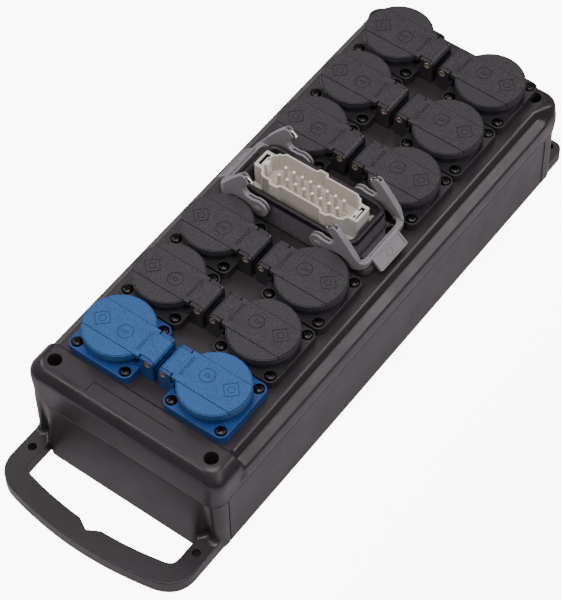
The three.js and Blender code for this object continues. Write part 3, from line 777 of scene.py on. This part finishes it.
def fixing_holes():
    """Through holes in the handle roots and the far tabs."""
    mouth = [(0, -1), (3.3, -1), (2.8, 0.6), (2.8, HANDLE_TOP - 0.4), (3.1, HANDLE_TOP + 0.05), (3.1, 14),
             (0, 14)]
    places = [(side * x, y) for x, y in ((66.5, -212.9), (65.1, 190.9)) for side in (-1, 1)]
    return [shift(lathe(mouth, 32), x, y) for x, y in places]


def base_shell():
    levels = [(0, 1.6), (0.12, 1.0), (0.47, 0.47), (1.0, 0.12), (1.6, 0)]
    levels += [(z, 0) for z in (4, 8, 13, 19, 26, 34, 42, 49.2)] + [(49.9, 0), (PARTING - 0.15, 0.25)]
    body = loft([base_ring(z, tuck) for z, tuck in levels])
    cavity = slab(rounded_rect(-71, NEAR_Y + 6, 71, FAR_Y - 4, 5), 4, 60, bottom=3)
    shell = cut(join(handle_mesh(), body, foot_fillets(), *far_tabs()), cavity)
    posts = [cylinder(p.x, p.y, 2, PARTING - 0.4, POST) for p in BOLTS.values()]
    bores = [cylinder(p.x, p.y, 12, 60, 2.6) for p in BOLTS.values()]
    return cut(join(shell, *posts), *bores, *fixing_holes(), *side_panel_cuts())


def joint_gasket_mesh():
    outside = slab(rounded_rect(-72.6, NEAR_Y + 2.4, 72.6, FAR_Y - 2.4, 7), 48.6, 50.4, 0.5, 0.5)
    return cut(outside, slab(rounded_rect(-71.1, NEAR_Y + 3.9, 71.1, FAR_Y - 3.9, 6), 47, 52))


def long_bolt_mesh():
    shape = [(0, 14), (1.4, 14), (2.2, 16), (2.2, 61), (4.0, 61), (4.1, 61.4), (4.1, 63.2), (3.4, 64.6),
             (0, 65)]
    return cut(lathe(shape, 32), cross_tool(64, 2.0))


def build_enclosure():
    place("cover_shell", to_metres(top_shell(), 40), "enclosure", RUBBER, ["top_shell"])
    place("lower_shell", to_metres(base_shell(), 40), "enclosure", RUBBER, ["base_shell"])
    place("joint_gasket", to_metres(joint_gasket_mesh()), "enclosure", SEAL, ["shell_gasket"])
    bolt = to_metres(long_bolt_mesh())
    for name, p in BOLTS.items():
        node = f"shell_bolt_{name}"
        place(f"long_bolt_{name}", bolt, "enclosure", DARK_STEEL, [node], at_mm(p.x, p.y))


def cross_tool(z, reach):
    """Cutter for a cross recess that narrows downwards, centred on the axis."""
    blades = []
    for turn in (0, math.pi / 2):
        blade = loft([
            [(-reach * k, -0.38 * k, z + h), (reach * k, -0.38 * k, z + h),
             (reach * k, 0.38 * k, z + h), (-reach * k, 0.38 * k, z + h)]
            for k, h in ((0.45, -1.5), (1.0, 0.6), (1.05, 1.6))
        ])
        blades.append(moved(blade, Matrix.Rotation(turn, 4, "Z")))
    return join(blades[0], blades[1])


# ---------------------------------------------------------------- sockets, hinge towards +X in own frame

FLANGE_TOP = 7.0
LID_TOP = 19.4                           # raised band across the lid
LID_SIDE = LID_TOP - 0.45                # the two lower segments beside it
BAND_HALF = 11.8
PIN_X, PIN_Z = 31.0, 15.1
PIN_RADIUS = (PIN_HIGH.x - PIN_LOW.x) / 2
EAR_INNER, EAR_OUTER = 9.5, 11.9
SCREW_HALF = 19.1


def socket_ears():
    """The two upright ears that hold the hinge pin."""
    ear = fillet_corners([(25.4, 4), (35.2, 4), (35.2, 19.1), (25.4, 19.1)], [0, 0, 4.2, 0.5], 6)
    ears = []
    for side in (-1, 1):
        y0, y1 = sorted((-side * EAR_INNER, -side * EAR_OUTER))
        ears.append(along_y(slab(ear, -y1, -y0, top=0.2, bottom=0.2, steps=2)))
    return ears


def socket_holes():
    """Pin holes and the flange's four screw seats."""
    mouth = [(0, -20), (2.5, -20), (2.5, -2.3), (3.4, -1.2), (3.4, 1), (0, 1)]
    holes = [shift(lathe(mouth, 24), 0, y, 0) for y in (-9.5, 9.5)]
    seat = [(0, FLANGE_TOP - 1.3), (4.0, FLANGE_TOP - 1.3), (4.0, FLANGE_TOP - 0.2),
            (4.25, FLANGE_TOP + 0.1), (4.25, 9), (0, 9)]
    for x in (-SCREW_HALF, SCREW_HALF):
        for y in (-SCREW_HALF, SCREW_HALF):
            holes.append(shift(lathe(seat, 32), x, y))
    return holes


def socket_mesh():
    """Flange, collar, plug recess, rear body and hinge foot of one socket."""
    flange = slab(centred(24.4, 24.4, 5.5, 8), 0.1, FLANGE_TOP, top=0.45, bottom=0.3, steps=3)
    collar = lathe([(0, 0.4), (21.9, 0.4), (21.9, 7.1), (21.6, 7.8), (21.4, 15.6), (20.8, 16.2),
                    (0, 16.2)], 64)
    rear = lathe([(0, -24), (20.6, -24), (21.2, -23.4), (21.2, 2), (0, 2)], 64)
    foot = slab(rounded_rect(23, -EAR_OUTER, 35.2, EAR_OUTER, 0.5, 3), 0.1, 10.5, top=0.1, steps=2)
    recess = lathe([(0, -1.3), (19.2, -1.3), (19.5, -1.0), (19.5, 15.4), (20.0, 16.3), (20.0, 18),
                    (0, 18)], 64)
    body = cut(join(collar, rear, flange, foot, *socket_ears()), recess, *socket_holes(), pin_bore())
    ribs = [box(x, y - 1, -1.4, x + 4.2, y + 1, 8, edge=0.3) for x in (-19.8, 15.6) for y in (-6.5, 6.5)]
    return join(body, *ribs)


def pin_bore():
    return along_y(cylinder(PIN_X, PIN_Z, -14, 14, PIN_RADIUS + 0.3, 24))


def ring_groove(x, y, z, radius, width):
    """Cutter for a fine round groove."""
    section = [(radius - width, z), (radius, z), (radius, z + 1), (radius - width, z + 1)]
    return shift(lathe(section, 48), x, y)


def square_groove(x, y, z, half, width):
    """Cutter for a fine square groove, standing on its corner."""
    plan = [(half, 0), (0, half), (-half, 0), (0, -half)]
    shrink = 1 - 1.5 * width / half
    outer = fillet_corners(plan, 0.9, 3)
    inner = fillet_corners([(a * shrink, b * shrink) for a, b in plan], 0.5, 3)
    return shift(cut(slab(outer, z, z + 1), slab(inner, z - 1, z + 2)), x, y)


def lid_cuts():
    """Slits of the label row, the two plain marks, the crease and the grooves beside the band."""
    low = LID_TOP - 0.6
    slits = [box(19.3 + 0.6 * (i % 2), 1.75 * i - 7.75, LID_TOP - 0.5, 22.2, 1.75 * i - 7.05, LID_TOP + 1)
             for i in range(9)]
    tools = [*slits, pin_bore(),
             ring_groove(6.6, -1.9, low, 5.4, 0.7), ring_groove(6.6, -1.9, low, 1.6, 0.6),
             square_groove(-11.5, -2.0, low, 6.9, 0.65), ring_groove(-11.5, -2.0, low, 2.6, 0.6),
             box(24.05, -EAR_INNER, LID_TOP - 0.12, 24.2, EAR_INNER, 22)]
    for side in (-1, 1):
        y0, y1 = side * BAND_HALF, side * (BAND_HALF + 0.5)
        tools.append(box(-30, y0, LID_SIDE - 0.5, 23.6, y1, 22))
        tools.append(box(-30, y0, 15.6, -19.4, y1, 22))
    return tools


def lid_mesh():
    """A shallow cap with a raised band, a hinge tongue and a row of plain ribs."""
    disc = lathe([(22.2, 13.7), (23.5, 13.6), (23.8, 13.9), (23.8, 18.1), (23.6, 18.45), (23.3, 18.5),
                  (23.22, 18.2), (23.0, 18.2), (22.95, LID_SIDE - 0.15), (22.8, LID_SIDE),
                  (0, LID_SIDE), (0, 16.6), (22.1, 16.6)], 96)
    band = slab(inset_band(BAND_HALF, 22.95), 17.2, LID_TOP, top=0.15, steps=2)
    neck_plan = rounded_rect(12, -BAND_HALF, 24.3, BAND_HALF, 0.3, 3)
    neck = slab(neck_plan, 15.4, LID_TOP, top=0.15, bottom=0.3, steps=2)
    knuckle = arc(PIN_X, PIN_Z, LID_TOP - PIN_Z, 165, 450, 30)
    tongue_plan = [(20, 16.2), (26.9, 16.2)] + knuckle + [(20, LID_TOP)]
    half = EAR_INNER - 0.25
    tongue = along_y(slab(tongue_plan, -half, half, top=0.15, bottom=0.15, steps=2))
    relief = [box(19.6 + 0.7 * (i % 2), 1.75 * i - 8.6, LID_TOP - 0.6, 21.9, 1.75 * i - 7.9, LID_TOP + 0.25,
                  edge=0.1) for i in range(10)]
    return cut(join(disc, band, neck, tongue, *relief), *lid_cuts())


def inset_band(half, radius):
    """The strip of a disc between two parallel chords, open towards the hinge side."""
    a = math.degrees(math.asin(half / radius))
    return arc(0, 0, radius, 180 - a, 180 + a, 20) + arc(0, 0, radius, -a, a, 20)


def hinge_pin_mesh():
    """A rolled tube with its seam open and its ends turned in."""
    outer, inner, half, gap = PIN_RADIUS, PIN_RADIUS - 0.85, 11.95, 12
    rings = []
    for y, grow in ((-half, -0.25), (-half + 0.25, 0), (half - 0.25, 0), (half, -0.25)):
        outside = arc(0, 0, outer + grow, gap, 360 - gap, 24)
        inside = arc(0, 0, inner - grow * 0.3, 360 - gap, gap, 24)
        rings.append([(x + PIN_X, y, z + PIN_Z) for x, z in outside + inside])
    return loft(rings)


def flange_screw_mesh():
    head = [(0, 1.0), (1.75, 1.0), (1.75, 5.7), (3.4, 5.7), (3.6, 5.95), (3.6, 6.7), (3.2, 7.5), (2.4, 8.0),
            (1.2, 8.25), (0, 8.3)]
    return cut(lathe(head, 32), cross_tool(8.0, 2.1))


def earth_spring_mesh():
    """One of the two sprung strips that touch the plug's earth tracks."""
    strip = [(19.3, -1), (19.3, 6), (18.4, 9.5), (17.2, 11.2), (18.6, 13.4)]
    back = [(x + 0.6, z) for x, z in reversed(strip)]
    return along_y(slab(strip + back, -2.4, 2.4))


SOCKET_FINISH = {"blue": (BLUE_BODY, BLUE), "black": (BLACK_BODY, BLACK)}


def build_sockets():
    body = to_metres(socket_mesh())
    lid = to_metres(lid_mesh())
    pin = to_metres(hinge_pin_mesh(), 40)
    screw = to_metres(flange_screw_mesh())
    spring = to_metres(earth_spring_mesh())
    for key in SOCKETS:
        side, centre = socket_centre(key)
        turn = Matrix.Rotation(0 if side < 0 else math.pi, 4, "Z")
        at = Matrix.Translation(centre * MM) @ turn
        colour = "blue" if key.endswith("_1") else "black"
        smooth_skin, grained = SOCKET_FINISH[colour]
        place(f"outlet_{key}", body, "enclosure", smooth_skin, [f"socket_{key}"], at)
        place(f"hinged_lid_{key}", lid, f"lid_{key}", grained, [f"lid_{key}"], at)
        place(f"rolled_pin_{key}", pin, "enclosure", PIN_STEEL, [f"lid_pin_{key}"], at)
        for i, (x, y) in enumerate(((-1, -1), (1, -1), (1, 1), (-1, 1))):
            spin = Matrix.Rotation(random.uniform(0, math.pi), 4, "Z")
            spot = at @ at_mm(x * SCREW_HALF, y * SCREW_HALF) @ spin
            place(f"flange_screw_{key}_{i + 1}", screw, "enclosure", DARK_STEEL, matrix=spot)
        for i, way in enumerate((0, math.pi)):
            place(f"earth_spring_{key}_{i + 1}", spring, "enclosure", STEEL,
                  matrix=at @ Matrix.Rotation(way, 4, "Z"))


# ---------------------------------------------------------------- inlet

INLET_SCREWS = four_centres("inlet_screw")


def housing_mesh():
    base, flange_top, rim = HOUSING_LOW.z, 86.6, HOUSING_HIGH.z
    flange = slab(centred(58.5, 20.9, 6, 8), base, flange_top, top=0.6, bottom=0.3)
    wall = slab(centred(47.8, 21.4, 7.4, 8), base, rim, top=0.4, taper=1.7)
    lugs = [cylinder(p.x, p.y, base, flange_top + 0.8, 5.2, 32, 0.5) for p in INLET_SCREWS.values()]
    mouth = slab(centred(43.6, 16.6, 4.5, 8), 91, rim + 2)
    throat = slab(centred(39, 11.2, 2, 4), base - 1, 92)
    under = slab(centred(43.4, 16.4, 4, 4), base - 2, 88)
    holes = [lathe_at([(0, base - 1), (2.3, base - 1), (2.3, 84.5), (4.1, 84.6), (4.1, 90), (0, 90)], p)
             for p in INLET_SCREWS.values()]
    return cut(join(flange, wall, *lugs), mouth, throat, under, *holes)


def rim_seal_mesh():
    """The soft seal round the mouth: a rounded crest, with a skirt over the wall's edge."""
    low, high, skirt = HOUSING_HIGH.z + 0.2, SEAL_HIGH.z, 99.5
    hx, hy = SEAL_HIGH.x, SEAL_HIGH.y
    section = [(-0.45, skirt), (-0.45, high - 1.0), (-0.2, high - 0.4), (0.4, high - 0.1), (1.2, high),
               (2.4, high - 0.3), (3.0, high - 0.8), (3.5, high - 2.0), (4.1, high - 4.0), (3.6, high - 4.3),
               (2.9, low), (0.1, low), (0, skirt)]
    outline = centred(hx, hy, 7, 10)
    rings = [[(x, y, z) for x, y in inset(outline, depth)] for depth, z in section]
    bm = bmesh.new()
    skin(bm, rings, wrap=True)
    return new_mesh(bm)


def insert_outline():
    """Plan of the insert's raised wall: stepped ends, one bump behind and two in front."""
    points = [
        (-40.9, -7.4), (-34.0, -7.4), (-32.6, -10.6), (-29.8, -12.2), (-24.6, -12.2), (-23.4, -14.6),
        (-17.0, -14.6), (-15.8, -12.2), (15.2, -12.2), (16.6, -14.6), (21.6, -14.6), (23.6, -12.2),
        (29.0, -12.2), (32.4, -10.6), (33.4, -7.4), (40.9, -7.4),
        (40.9, 7.4), (33.6, 7.4), (32.2, 10.2), (29.8, 10.8), (28.6, 12.2), (4.4, 12.2), (3.2, 14.6),
        (-3.2, 14.6), (-4.6, 12.2), (-29.0, 12.2), (-29.8, 10.2), (-32.4, 9.8), (-33.4, 7.4), (-40.9, 7.4),
    ]
    radii = [1.6 if abs(x) > 40 else 0.9 for x, _ in points]
    for crease in (7, 11):
        radii[crease] = 0.2
    return fillet_corners(points, radii, 4)


def insert_well():
    """Plan of the space inside the raised wall."""
    points = [
        (-34.6, -5.4), (-32.6, -6.6), (-31.2, -9.6), (-29.2, -10.8), (-23.6, -10.8), (-22.2, -13.1),
        (-18.2, -13.1), (-16.6, -10.8), (16.0, -10.8), (17.4, -13.1), (20.8, -13.1), (22.8, -10.8),
        (28.4, -10.8), (31.2, -9.6), (32.2, -6.6), (34.6, -5.4),
        (34.6, 5.4), (32.4, 6.4), (31.2, 9.0), (29.0, 9.6), (28.0, 10.8), (3.6, 10.8), (2.4, 13.1),
        (-2.4, 13.1), (-3.8, 10.8), (-28.2, 10.8), (-29.0, 9.0), (-31.4, 8.6), (-32.4, 6.4), (-34.6, 5.4),
    ]
    return fillet_corners(points, 0.9, 3)


INSERT_FLOOR = 97.0
LUG_X, LUG_Y = 39.4, 12.1
CONTACTS = [((column - 3.5) * 6.6, row) for row in (-3.55, 3.55) for column in range(8)]


def insert_cell(x, y):
    """Small square frame moulded on the insert's floor beside a contact."""
    cell = box(x - 1.1, y - 0.9, 96, x + 1.1, y + 0.9, 97.5, edge=0.1)
    return cut(cell, box(x - 0.7, y - 0.5, 97.1, x + 0.7, y + 0.5, 99))


def insert_lugs():
    """Screw lugs at the insert's four corners."""
    lugs = []
    for sx in (-1, 1):
        for sy in (-1, 1):
            lugs.append(cylinder(sx * LUG_X, sy * LUG_Y, 91.3, 94.3, 3.1, 24, 0.3))
            lugs.append(box(sx * 36.3, sy * 6.9, 91.4, sx * 40.7, sy * 12.0, 94.0, edge=0.2))
    return lugs


def insert_slots():
    """End slots for the earth plates, the fine grooves outside and the passages for the tongues."""
    top = INSERT_HIGH.z
    slots = [box(x - 1.6, -5.0, 84, x + 1.6, 5.0, top + 1) for x in (-37.5, 37.5)]
    slots += [box(x, -13, 95, x + 0.7, -11.6, top - 1.5) for x in (-31.6, -29.4, -27.2)]
    return slots + [box(x, -2.6, 99.5, x + 3.5, 2.6, top + 1) for x in (-37.0, 33.5)]


def insert_mesh():
    """The beige pin carrier: stepped wall, well with contact cups, end slots and screw lugs."""
    raised = slab(insert_outline(), 93, INSERT_HIGH.z, top=0.35, steps=3)
    rear = slab(centred(38, 10.4, 1.5, 3), 70, 94, bottom=0.8)
    well = slab(insert_well(), INSERT_FLOOR, INSERT_HIGH.z + 1)
    cup = [(0, 96), (2.3, 96), (2.3, 97.9), (2.05, 98.1), (0, 98.1)]
    cups = [shift(lathe(cup, 20), x, y) for x, y in CONTACTS]
    cups += [insert_cell(x - 0.35, 8.8) for x, y in CONTACTS if y < 0]
    seat = [(0, 93.6), (1.9, 93.6), (1.9, 99), (0, 99)]
    seats = [shift(lathe(seat, 24), sx * LUG_X, sy * LUG_Y) for sx in (-1, 1) for sy in (-1, 1)]
    open_shape = cut(join(raised, rear, *insert_lugs()), well, *insert_slots())
    return cut(join(open_shape, *cups), *seats)


def contact_mesh():
    tip = CONTACT_TIP
    return lathe([(0, 97.6), (1.6, 97.6), (1.6, 98.9), (1.25, 99.1), (1.25, tip - 1.3), (1.05, tip - 0.5),
                  (0.6, tip - 0.1), (0, tip)], 20)


def earth_plate_mesh():
    """Folded steel plate standing in the insert's end slot, with a tongue towards the middle."""
    upright = box(36.5, -3.8, 86.0, 37.5, 3.8, 110.4, edge=0.2)
    tongue = box(33.9, -2.3, 99.8, 36.8, 2.3, 110.0, edge=0.3)
    return join(upright, tongue)


def slot_shade_sheet_mesh():
    """Black sheet of painted shade lining an end slot, open towards the middle where the steel tongue passes.
    """
    shell = cut(slab(rounded_rect(35.95, -4.95, 39.05, 4.95, 0.3, 3), 84.5, 111.0),
                slab(rounded_rect(36.3, -4.6, 38.7, 4.6, 0.2, 3), 80, 113))
    return cut(shell, box(35, -2.7, 99, 36.6, 2.7, 113))


LEVER_JOINT = next(j for j in frame["joints"] if j["name"] == "lever_pivot_right")
PIVOT = (LEVER_JOINT["pos_m"][0] / MM, LEVER_JOINT["pos_m"][2] / MM)
LEVER_INNER = 21.5                       # arms lie from here out to the lever's full width
BAR_INNER, BAR_OUTER = 54.2, 58.2


def arm_outline():
    """Side view of a lever arm in X and Z, for the right lever."""
    lobe = arc(*PIVOT, 6.8, 58, 303, 16)
    points = [(30.4, 94.6), (34, 97.1), (41, 97.6), (44.6, 96.6), (47.2, 94.2), (49, 91), (BAR_OUTER, 91),
              (BAR_OUTER, 95), (55.2, 97), (52.4, 102), (44, 113.3), (38.2, 119.9), (36.4, 121.2),
              (34.2, 121), (30.8, 116.4), (31.9, 114.2), (36.3, 109.6), (35.4, 105.6), (33.2, 102.9)]
    radii = [1.5, 1.5, 2.5, 1.5, 1.2, 0.8, 0.6, 0.8, 1.5, 2.0, 3.0, 1.5, 0.9, 0.9, 0.7, 0.7, 2.0, 1.6, 1.6]
    leg = fillet_corners([lobe[-1]] + points + [lobe[0]], [0] + radii + [0], 4)
    return leg + lobe[1:-1]


def thumb_plate():
    """Sloping plate outside the cross bar: raised border and a plain ring."""
    top_x, top_z, foot_x, foot_z = 57.8, 95.0, 66.2, 87.0
    fall, run = top_z - foot_z, foot_x - top_x
    length = math.hypot(fall, run)
    half = 14.5
    plate = slab(rounded_rect(-1.6, -half, length, half, 1.4, 5), -2.7, 0, top=0.4, bottom=0.6, steps=3)
    field = slab(rounded_rect(1.5, -half + 1.7, length - 1.6, half - 1.7, 0.9, 4), -0.7, 1)
    ring = cut(cylinder(length / 2, 0, -1.0, -0.15, 3.1, 40, 0.1), cylinder(length / 2, 0, -2, 1, 2.2, 40))
    tilt = Matrix.Translation((top_x, 0, top_z)) @ Matrix.Rotation(math.atan2(fall, run), 4, "Y")
    return moved(join(cut(plate, field), ring), tilt)


def lever_bar_corners():
    """Webs that round the inside corners between the cross bar and the arms."""
    inner, web = LEVER_INNER, 5.5
    corners = []
    for side in (-1, 1):
        x, y = BAR_INNER - web, side * (inner - web)
        corner = box(x, y, 91.1, BAR_INNER + 0.5, side * (inner + 0.5), 95, edge=0.2)
        corners.append(cut(corner, cylinder(x, y, 80, 110, web)))
    return corners


def lever_slots():
    """The gaps between the two leaves of each arm, at the pivot and at the hook."""
    leg_gap = fillet_corners([(14, 88), (27, 88), (31, 95.6), (34.2, 99), (30.5, 105), (14, 106)], 1.2, 3)
    tip_gap = fillet_corners([(26, 111.5), (33.6, 112.4), (36.4, 117), (39.6, 124), (26, 123)], 1.0, 3)
    slots = []
    for side in (-1, 1):
        middle = side * (LEVER_INNER + LEVER_HIGH.y) / 2
        slots.append(along_y(slab(leg_gap, -middle - 0.75, -middle + 0.75)))
        slots.append(along_y(slab(tip_gap, -middle - 1.1, -middle + 1.1)))
    return slots


def lever_mesh():
    """U-shaped locking lever with double-leaf arms and a sloping thumb plate, right-hand side."""
    outer, inner = LEVER_HIGH.y, LEVER_INNER
    bar = box(BAR_INNER, -inner - 1, 91, BAR_OUTER, inner + 1, 95, edge=0.4)
    parts = []
    for side, corner in zip((-1, 1), lever_bar_corners()):
        y0, y1 = sorted((-side * inner, -side * outer))
        parts += [along_y(slab(arm_outline(), y0, y1, top=0.5, bottom=0.5, steps=3)), corner]
    frame_plan = rounded_rect(-20, -outer, BAR_OUTER, outer, 8.5, 12)
    body = boolean(join(bar, *parts), [slab(frame_plan, 80, 130)], "INTERSECT")
    bore = along_y(cylinder(*PIVOT, -30, 30, 2.3, 24))
    return cut(join(body, thumb_plate()), *lever_slots(), bore)


def rivet_mesh():
    """Lever pivot along Z from the housing wall out, with a domed head."""
    start, seat = 20.5, LEVER_HIGH.y + 0.15
    return lathe([(0, start), (2.0, start), (2.0, seat), (2.7, seat), (2.8, seat + 0.25), (2.2, seat + 0.62),
                  (0, seat + 0.72)], 32)


def roller_mesh():
    """Steel hook roller between the two leaves of an arm's tip, and the pin that holds it."""
    pin = along_y(cylinder(4.6, 3.2, -1.05, 1.05, 0.8, 16, 0.15))
    link = box(0, -0.5, 0.4, 5.2, 0.5, 2.0, edge=0.1)
    slope = Matrix.Rotation(-math.atan2(3.2, 4.6), 4, "Y")
    return join(along_y(cylinder(0, 0, -1.05, 1.05, 1.35, 24, 0.2)), pin, moved(link, slope))


def build_levers():
    shape = lever_mesh()
    mirror = moved(shape.copy(), Matrix.Scale(-1, 4, (1, 0, 0)))
    meshes = {"right": to_metres(shape), "left": to_metres(mirror)}
    rivet = to_metres(rivet_mesh())
    roller = to_metres(roller_mesh())
    for column, side in (("left", -1), ("right", 1)):
        body = f"lever_{column}"
        place(f"locking_{body}", meshes[column], body, LEVER, [body])
        for row, way in (("near", -1), ("far", 1)):
            lay = Matrix.Rotation(-way * math.pi / 2, 4, "X")
            at = at_mm(side * PIVOT[0], 0, PIVOT[1]) @ lay
            node = f"lever_pivot_{row}_{column}"
            place(f"rivet_{row}_{column}", rivet, "enclosure", LEVER, [node], at)
            middle = way * (LEVER_INNER + LEVER_HIGH.y) / 2
            turn = Matrix.Rotation(0 if side > 0 else math.pi, 4, "Z")
            spot = at_mm(side * 30.0, middle, 115.7) @ turn
            place(f"hook_roller_{row}_{column}", roller, body, STEEL, matrix=spot)


def flange_gasket_mesh():
    outside = slab(centred(58.3, 21.3, 6, 6), PANEL + 0.2, 81.7, 0.3, 0.3)
    return cut(outside, slab(centred(43, 17, 3, 4), 79, 84))


def inlet_screw_mesh():
    shape = [(0, 72), (1.9, 72), (1.9, 85.2), (3.5, 85.2), (3.7, 85.5), (3.7, 86.2), (3.2, 87.2), (1.8, 87.8),
             (0, 88)]
    return cut(lathe(shape, 32), cross_tool(87.6, 2.0))


def build_inlet():
    place("connector_housing", to_metres(housing_mesh()), "enclosure", HOUSING, ["inlet_housing"])
    place("flange_gasket", to_metres(flange_gasket_mesh()), "enclosure", SEAL, ["inlet_gasket"])
    place("rim_bead", to_metres(rim_seal_mesh(), 50), "enclosure", SEAL, ["inlet_rim_seal"])
    place("pin_insert", to_metres(insert_mesh()), "enclosure", INSERT, ["inlet_insert"])
    contact = to_metres(contact_mesh())
    for i, (x, y) in enumerate(CONTACTS):
        place(f"contact_{i + 1}", contact, "enclosure", TIN, matrix=at_mm(x, y))
    plate = to_metres(earth_plate_mesh())
    shade_sheet = to_metres(slot_shade_sheet_mesh())
    for column, turn in (("right", 0), ("left", math.pi)):
        way = Matrix.Rotation(turn, 4, "Z")
        node = f"earth_clip_{column}"
        place(f"earth_plate_{column}", plate, "enclosure", PLATE_STEEL, [node], way)
        # A black sheet of painted shade lines each end slot.
        place(f"slot_liner_{column}", shade_sheet, "enclosure", SEAL, matrix=way)
    screw = to_metres(inlet_screw_mesh())
    for name, p in INLET_SCREWS.items():
        node = f"inlet_screw_{name}"
        place(f"flange_fixing_{name}", screw, "enclosure", DARK_STEEL, [node], at_mm(p.x, p.y))


def build_wiring():
    """Round conductors from the inlet down to a trunk and up to each socket."""
    trunk = tube_mesh([(0, y, 22) for y in range(-155, 156, 31)], 6.0, 16)
    riser = tube_mesh([(0, 0, 22), (0, 0, 45), (0, 0, 69.6)], 5.0, 16)
    branches = []
    for key in SOCKETS:
        side, c = socket_centre(key)
        knee = bezier((0, c.y, 22), (side * 26, c.y, 22), (side * 37, c.y, 28), (side * 37.2, c.y, 55.6), 14)
        branches.append(tube_mesh([(0, c.y, 22)] + knee, 2.6, 10))
    loom = to_metres(join(trunk, riser, *branches), 50)
    place("conductor_loom", loom, "enclosure", CABLE, ["wiring_loom"])


# ---------------------------------------------------------------- room, light and camera

def floor_finish():
    """Pale floor with a painted pool of light: bright close to the box, darker further out, and plain white
    to the camera.
    """
    n = Nodes("pale_floor")
    parts = n.add("ShaderNodeSeparateXYZ")
    n.link(n.coords, parts, "Vector")
    beyond = []
    for axis, way, half in (("X", 1.0, FLARE * MM), ("Y", -1.0, 0.25)):
        past = n.math("SUBTRACT", n.math("MULTIPLY", parts.outputs[axis], way), half)
        beyond.append(n.math("POWER", n.math("MAXIMUM", past, 0.0), 2.0))
    away = n.math("SQRT", n.math("ADD", *beyond), 0.0)
    # Painted pool of light: the floor's colour is bright next to the box and falls to dark further out on the
    # +X and near sides.
    tone = n.math("ADD", n.ramp(away, 0.045, 0.10, 0.70, 0.05), n.ramp(n.noise(3.0), 0.3, 0.7, -0.02, 0.02))
    colour = n.add("ShaderNodeCombineColor")
    for channel, share in (("Red", 1.0), ("Green", 0.93), ("Blue", 0.97)):
        n.link(n.math("MULTIPLY", tone, share), colour, channel)
    n.shader.inputs["Emission Color"].default_value = (1.0, 1.0, 1.0, 1.0)
    seen = n.add("ShaderNodeLightPath").outputs["Is Camera Ray"]
    n.link(n.math("MULTIPLY", seen, 9.0), n.shader, "Emission Strength")
    return n.surface(colour.outputs[0], n.ramp(n.noise(40.0), 0.3, 0.7, 0.6, 0.75))


def build_stage():
    bm = bmesh.new()
    bmesh.ops.create_grid(bm, x_segments=1, y_segments=1, size=6.0)
    mesh = bpy.data.meshes.new("floor")
    bm.to_mesh(mesh)
    bm.free()
    floor = add_object("floor", mesh)
    floor.location.z = -0.0005
    mesh.materials.append(floor_finish())


def area_light(name, location, target, size, power, colour=(1.0, 0.955, 0.99)):
    data = bpy.data.lights.new(name, "AREA")
    data.shape = "RECTANGLE"
    data.size, data.size_y = size
    data.energy = power
    data.color = colour
    lamp = add_object(name, data)
    lamp.location = location
    lamp.rotation_euler = (Vector(target) - Vector(location)).to_track_quat("-Z", "Y").to_euler()


def build_light():
    world = bpy.data.worlds.new("studio")
    world.use_nodes = True
    background = world.node_tree.nodes["Background"]
    background.inputs["Color"].default_value = (0.97, 0.92, 1.0, 1)
    background.inputs["Strength"].default_value = 0.10
    bpy.context.scene.world = world
    area_light("key", (0.95, 0.68, 0.83), (0, 0, 0.05), (0.7, 0.5), 5.5)
    area_light("overhead", (0.25, -0.45, 1.85), (0, 0, 0.05), (1.2, 1.2), 22)
    area_light("side", (1.30, -0.35, 1.00), (0, 0, 0.05), (0.8, 0.6), 4)
    area_light("sheen", (-0.72, 0.93, 1.62), (0, 0, 0.05), (1.4, 1.4), 6)
    area_light("left", (-1.10, -0.30, 0.85), (0, 0, 0.05), (0.5, 0.4), 4)
    area_light("near", (-0.55, -1.05, 1.05), (0, -0.1, 0.05), (0.7, 0.35), 4)


def build_camera():
    """Three-quarter view from the handle end, with a long lens."""
    azimuth, elevation, roll = math.radians(37.677), math.radians(53.909), math.radians(-1.387)
    data = bpy.data.cameras.new("camera")
    data.sensor_width = 36.0
    data.lens = 145.64
    data.shift_x = -0.0116
    data.shift_y = 0.0020
    camera = add_object("camera", data)
    back = Vector((math.sin(azimuth) * math.cos(elevation), -math.cos(azimuth) * math.cos(elevation),
                   math.sin(elevation)))
    eye = Vector((0.58087, -0.77966, 1.32064))
    camera.location = eye
    turn = (-back).to_track_quat("-Z", "Y").to_matrix().to_4x4()
    camera.matrix_world = Matrix.Translation(eye) @ turn @ Matrix.Rotation(roll, 4, "Z")
    data.clip_start, data.clip_end = 0.05, 20
    bpy.context.scene.camera = camera


build_enclosure()
build_sockets()
build_inlet()
build_levers()
build_wiring()
build_stage()
build_light()
build_camera()
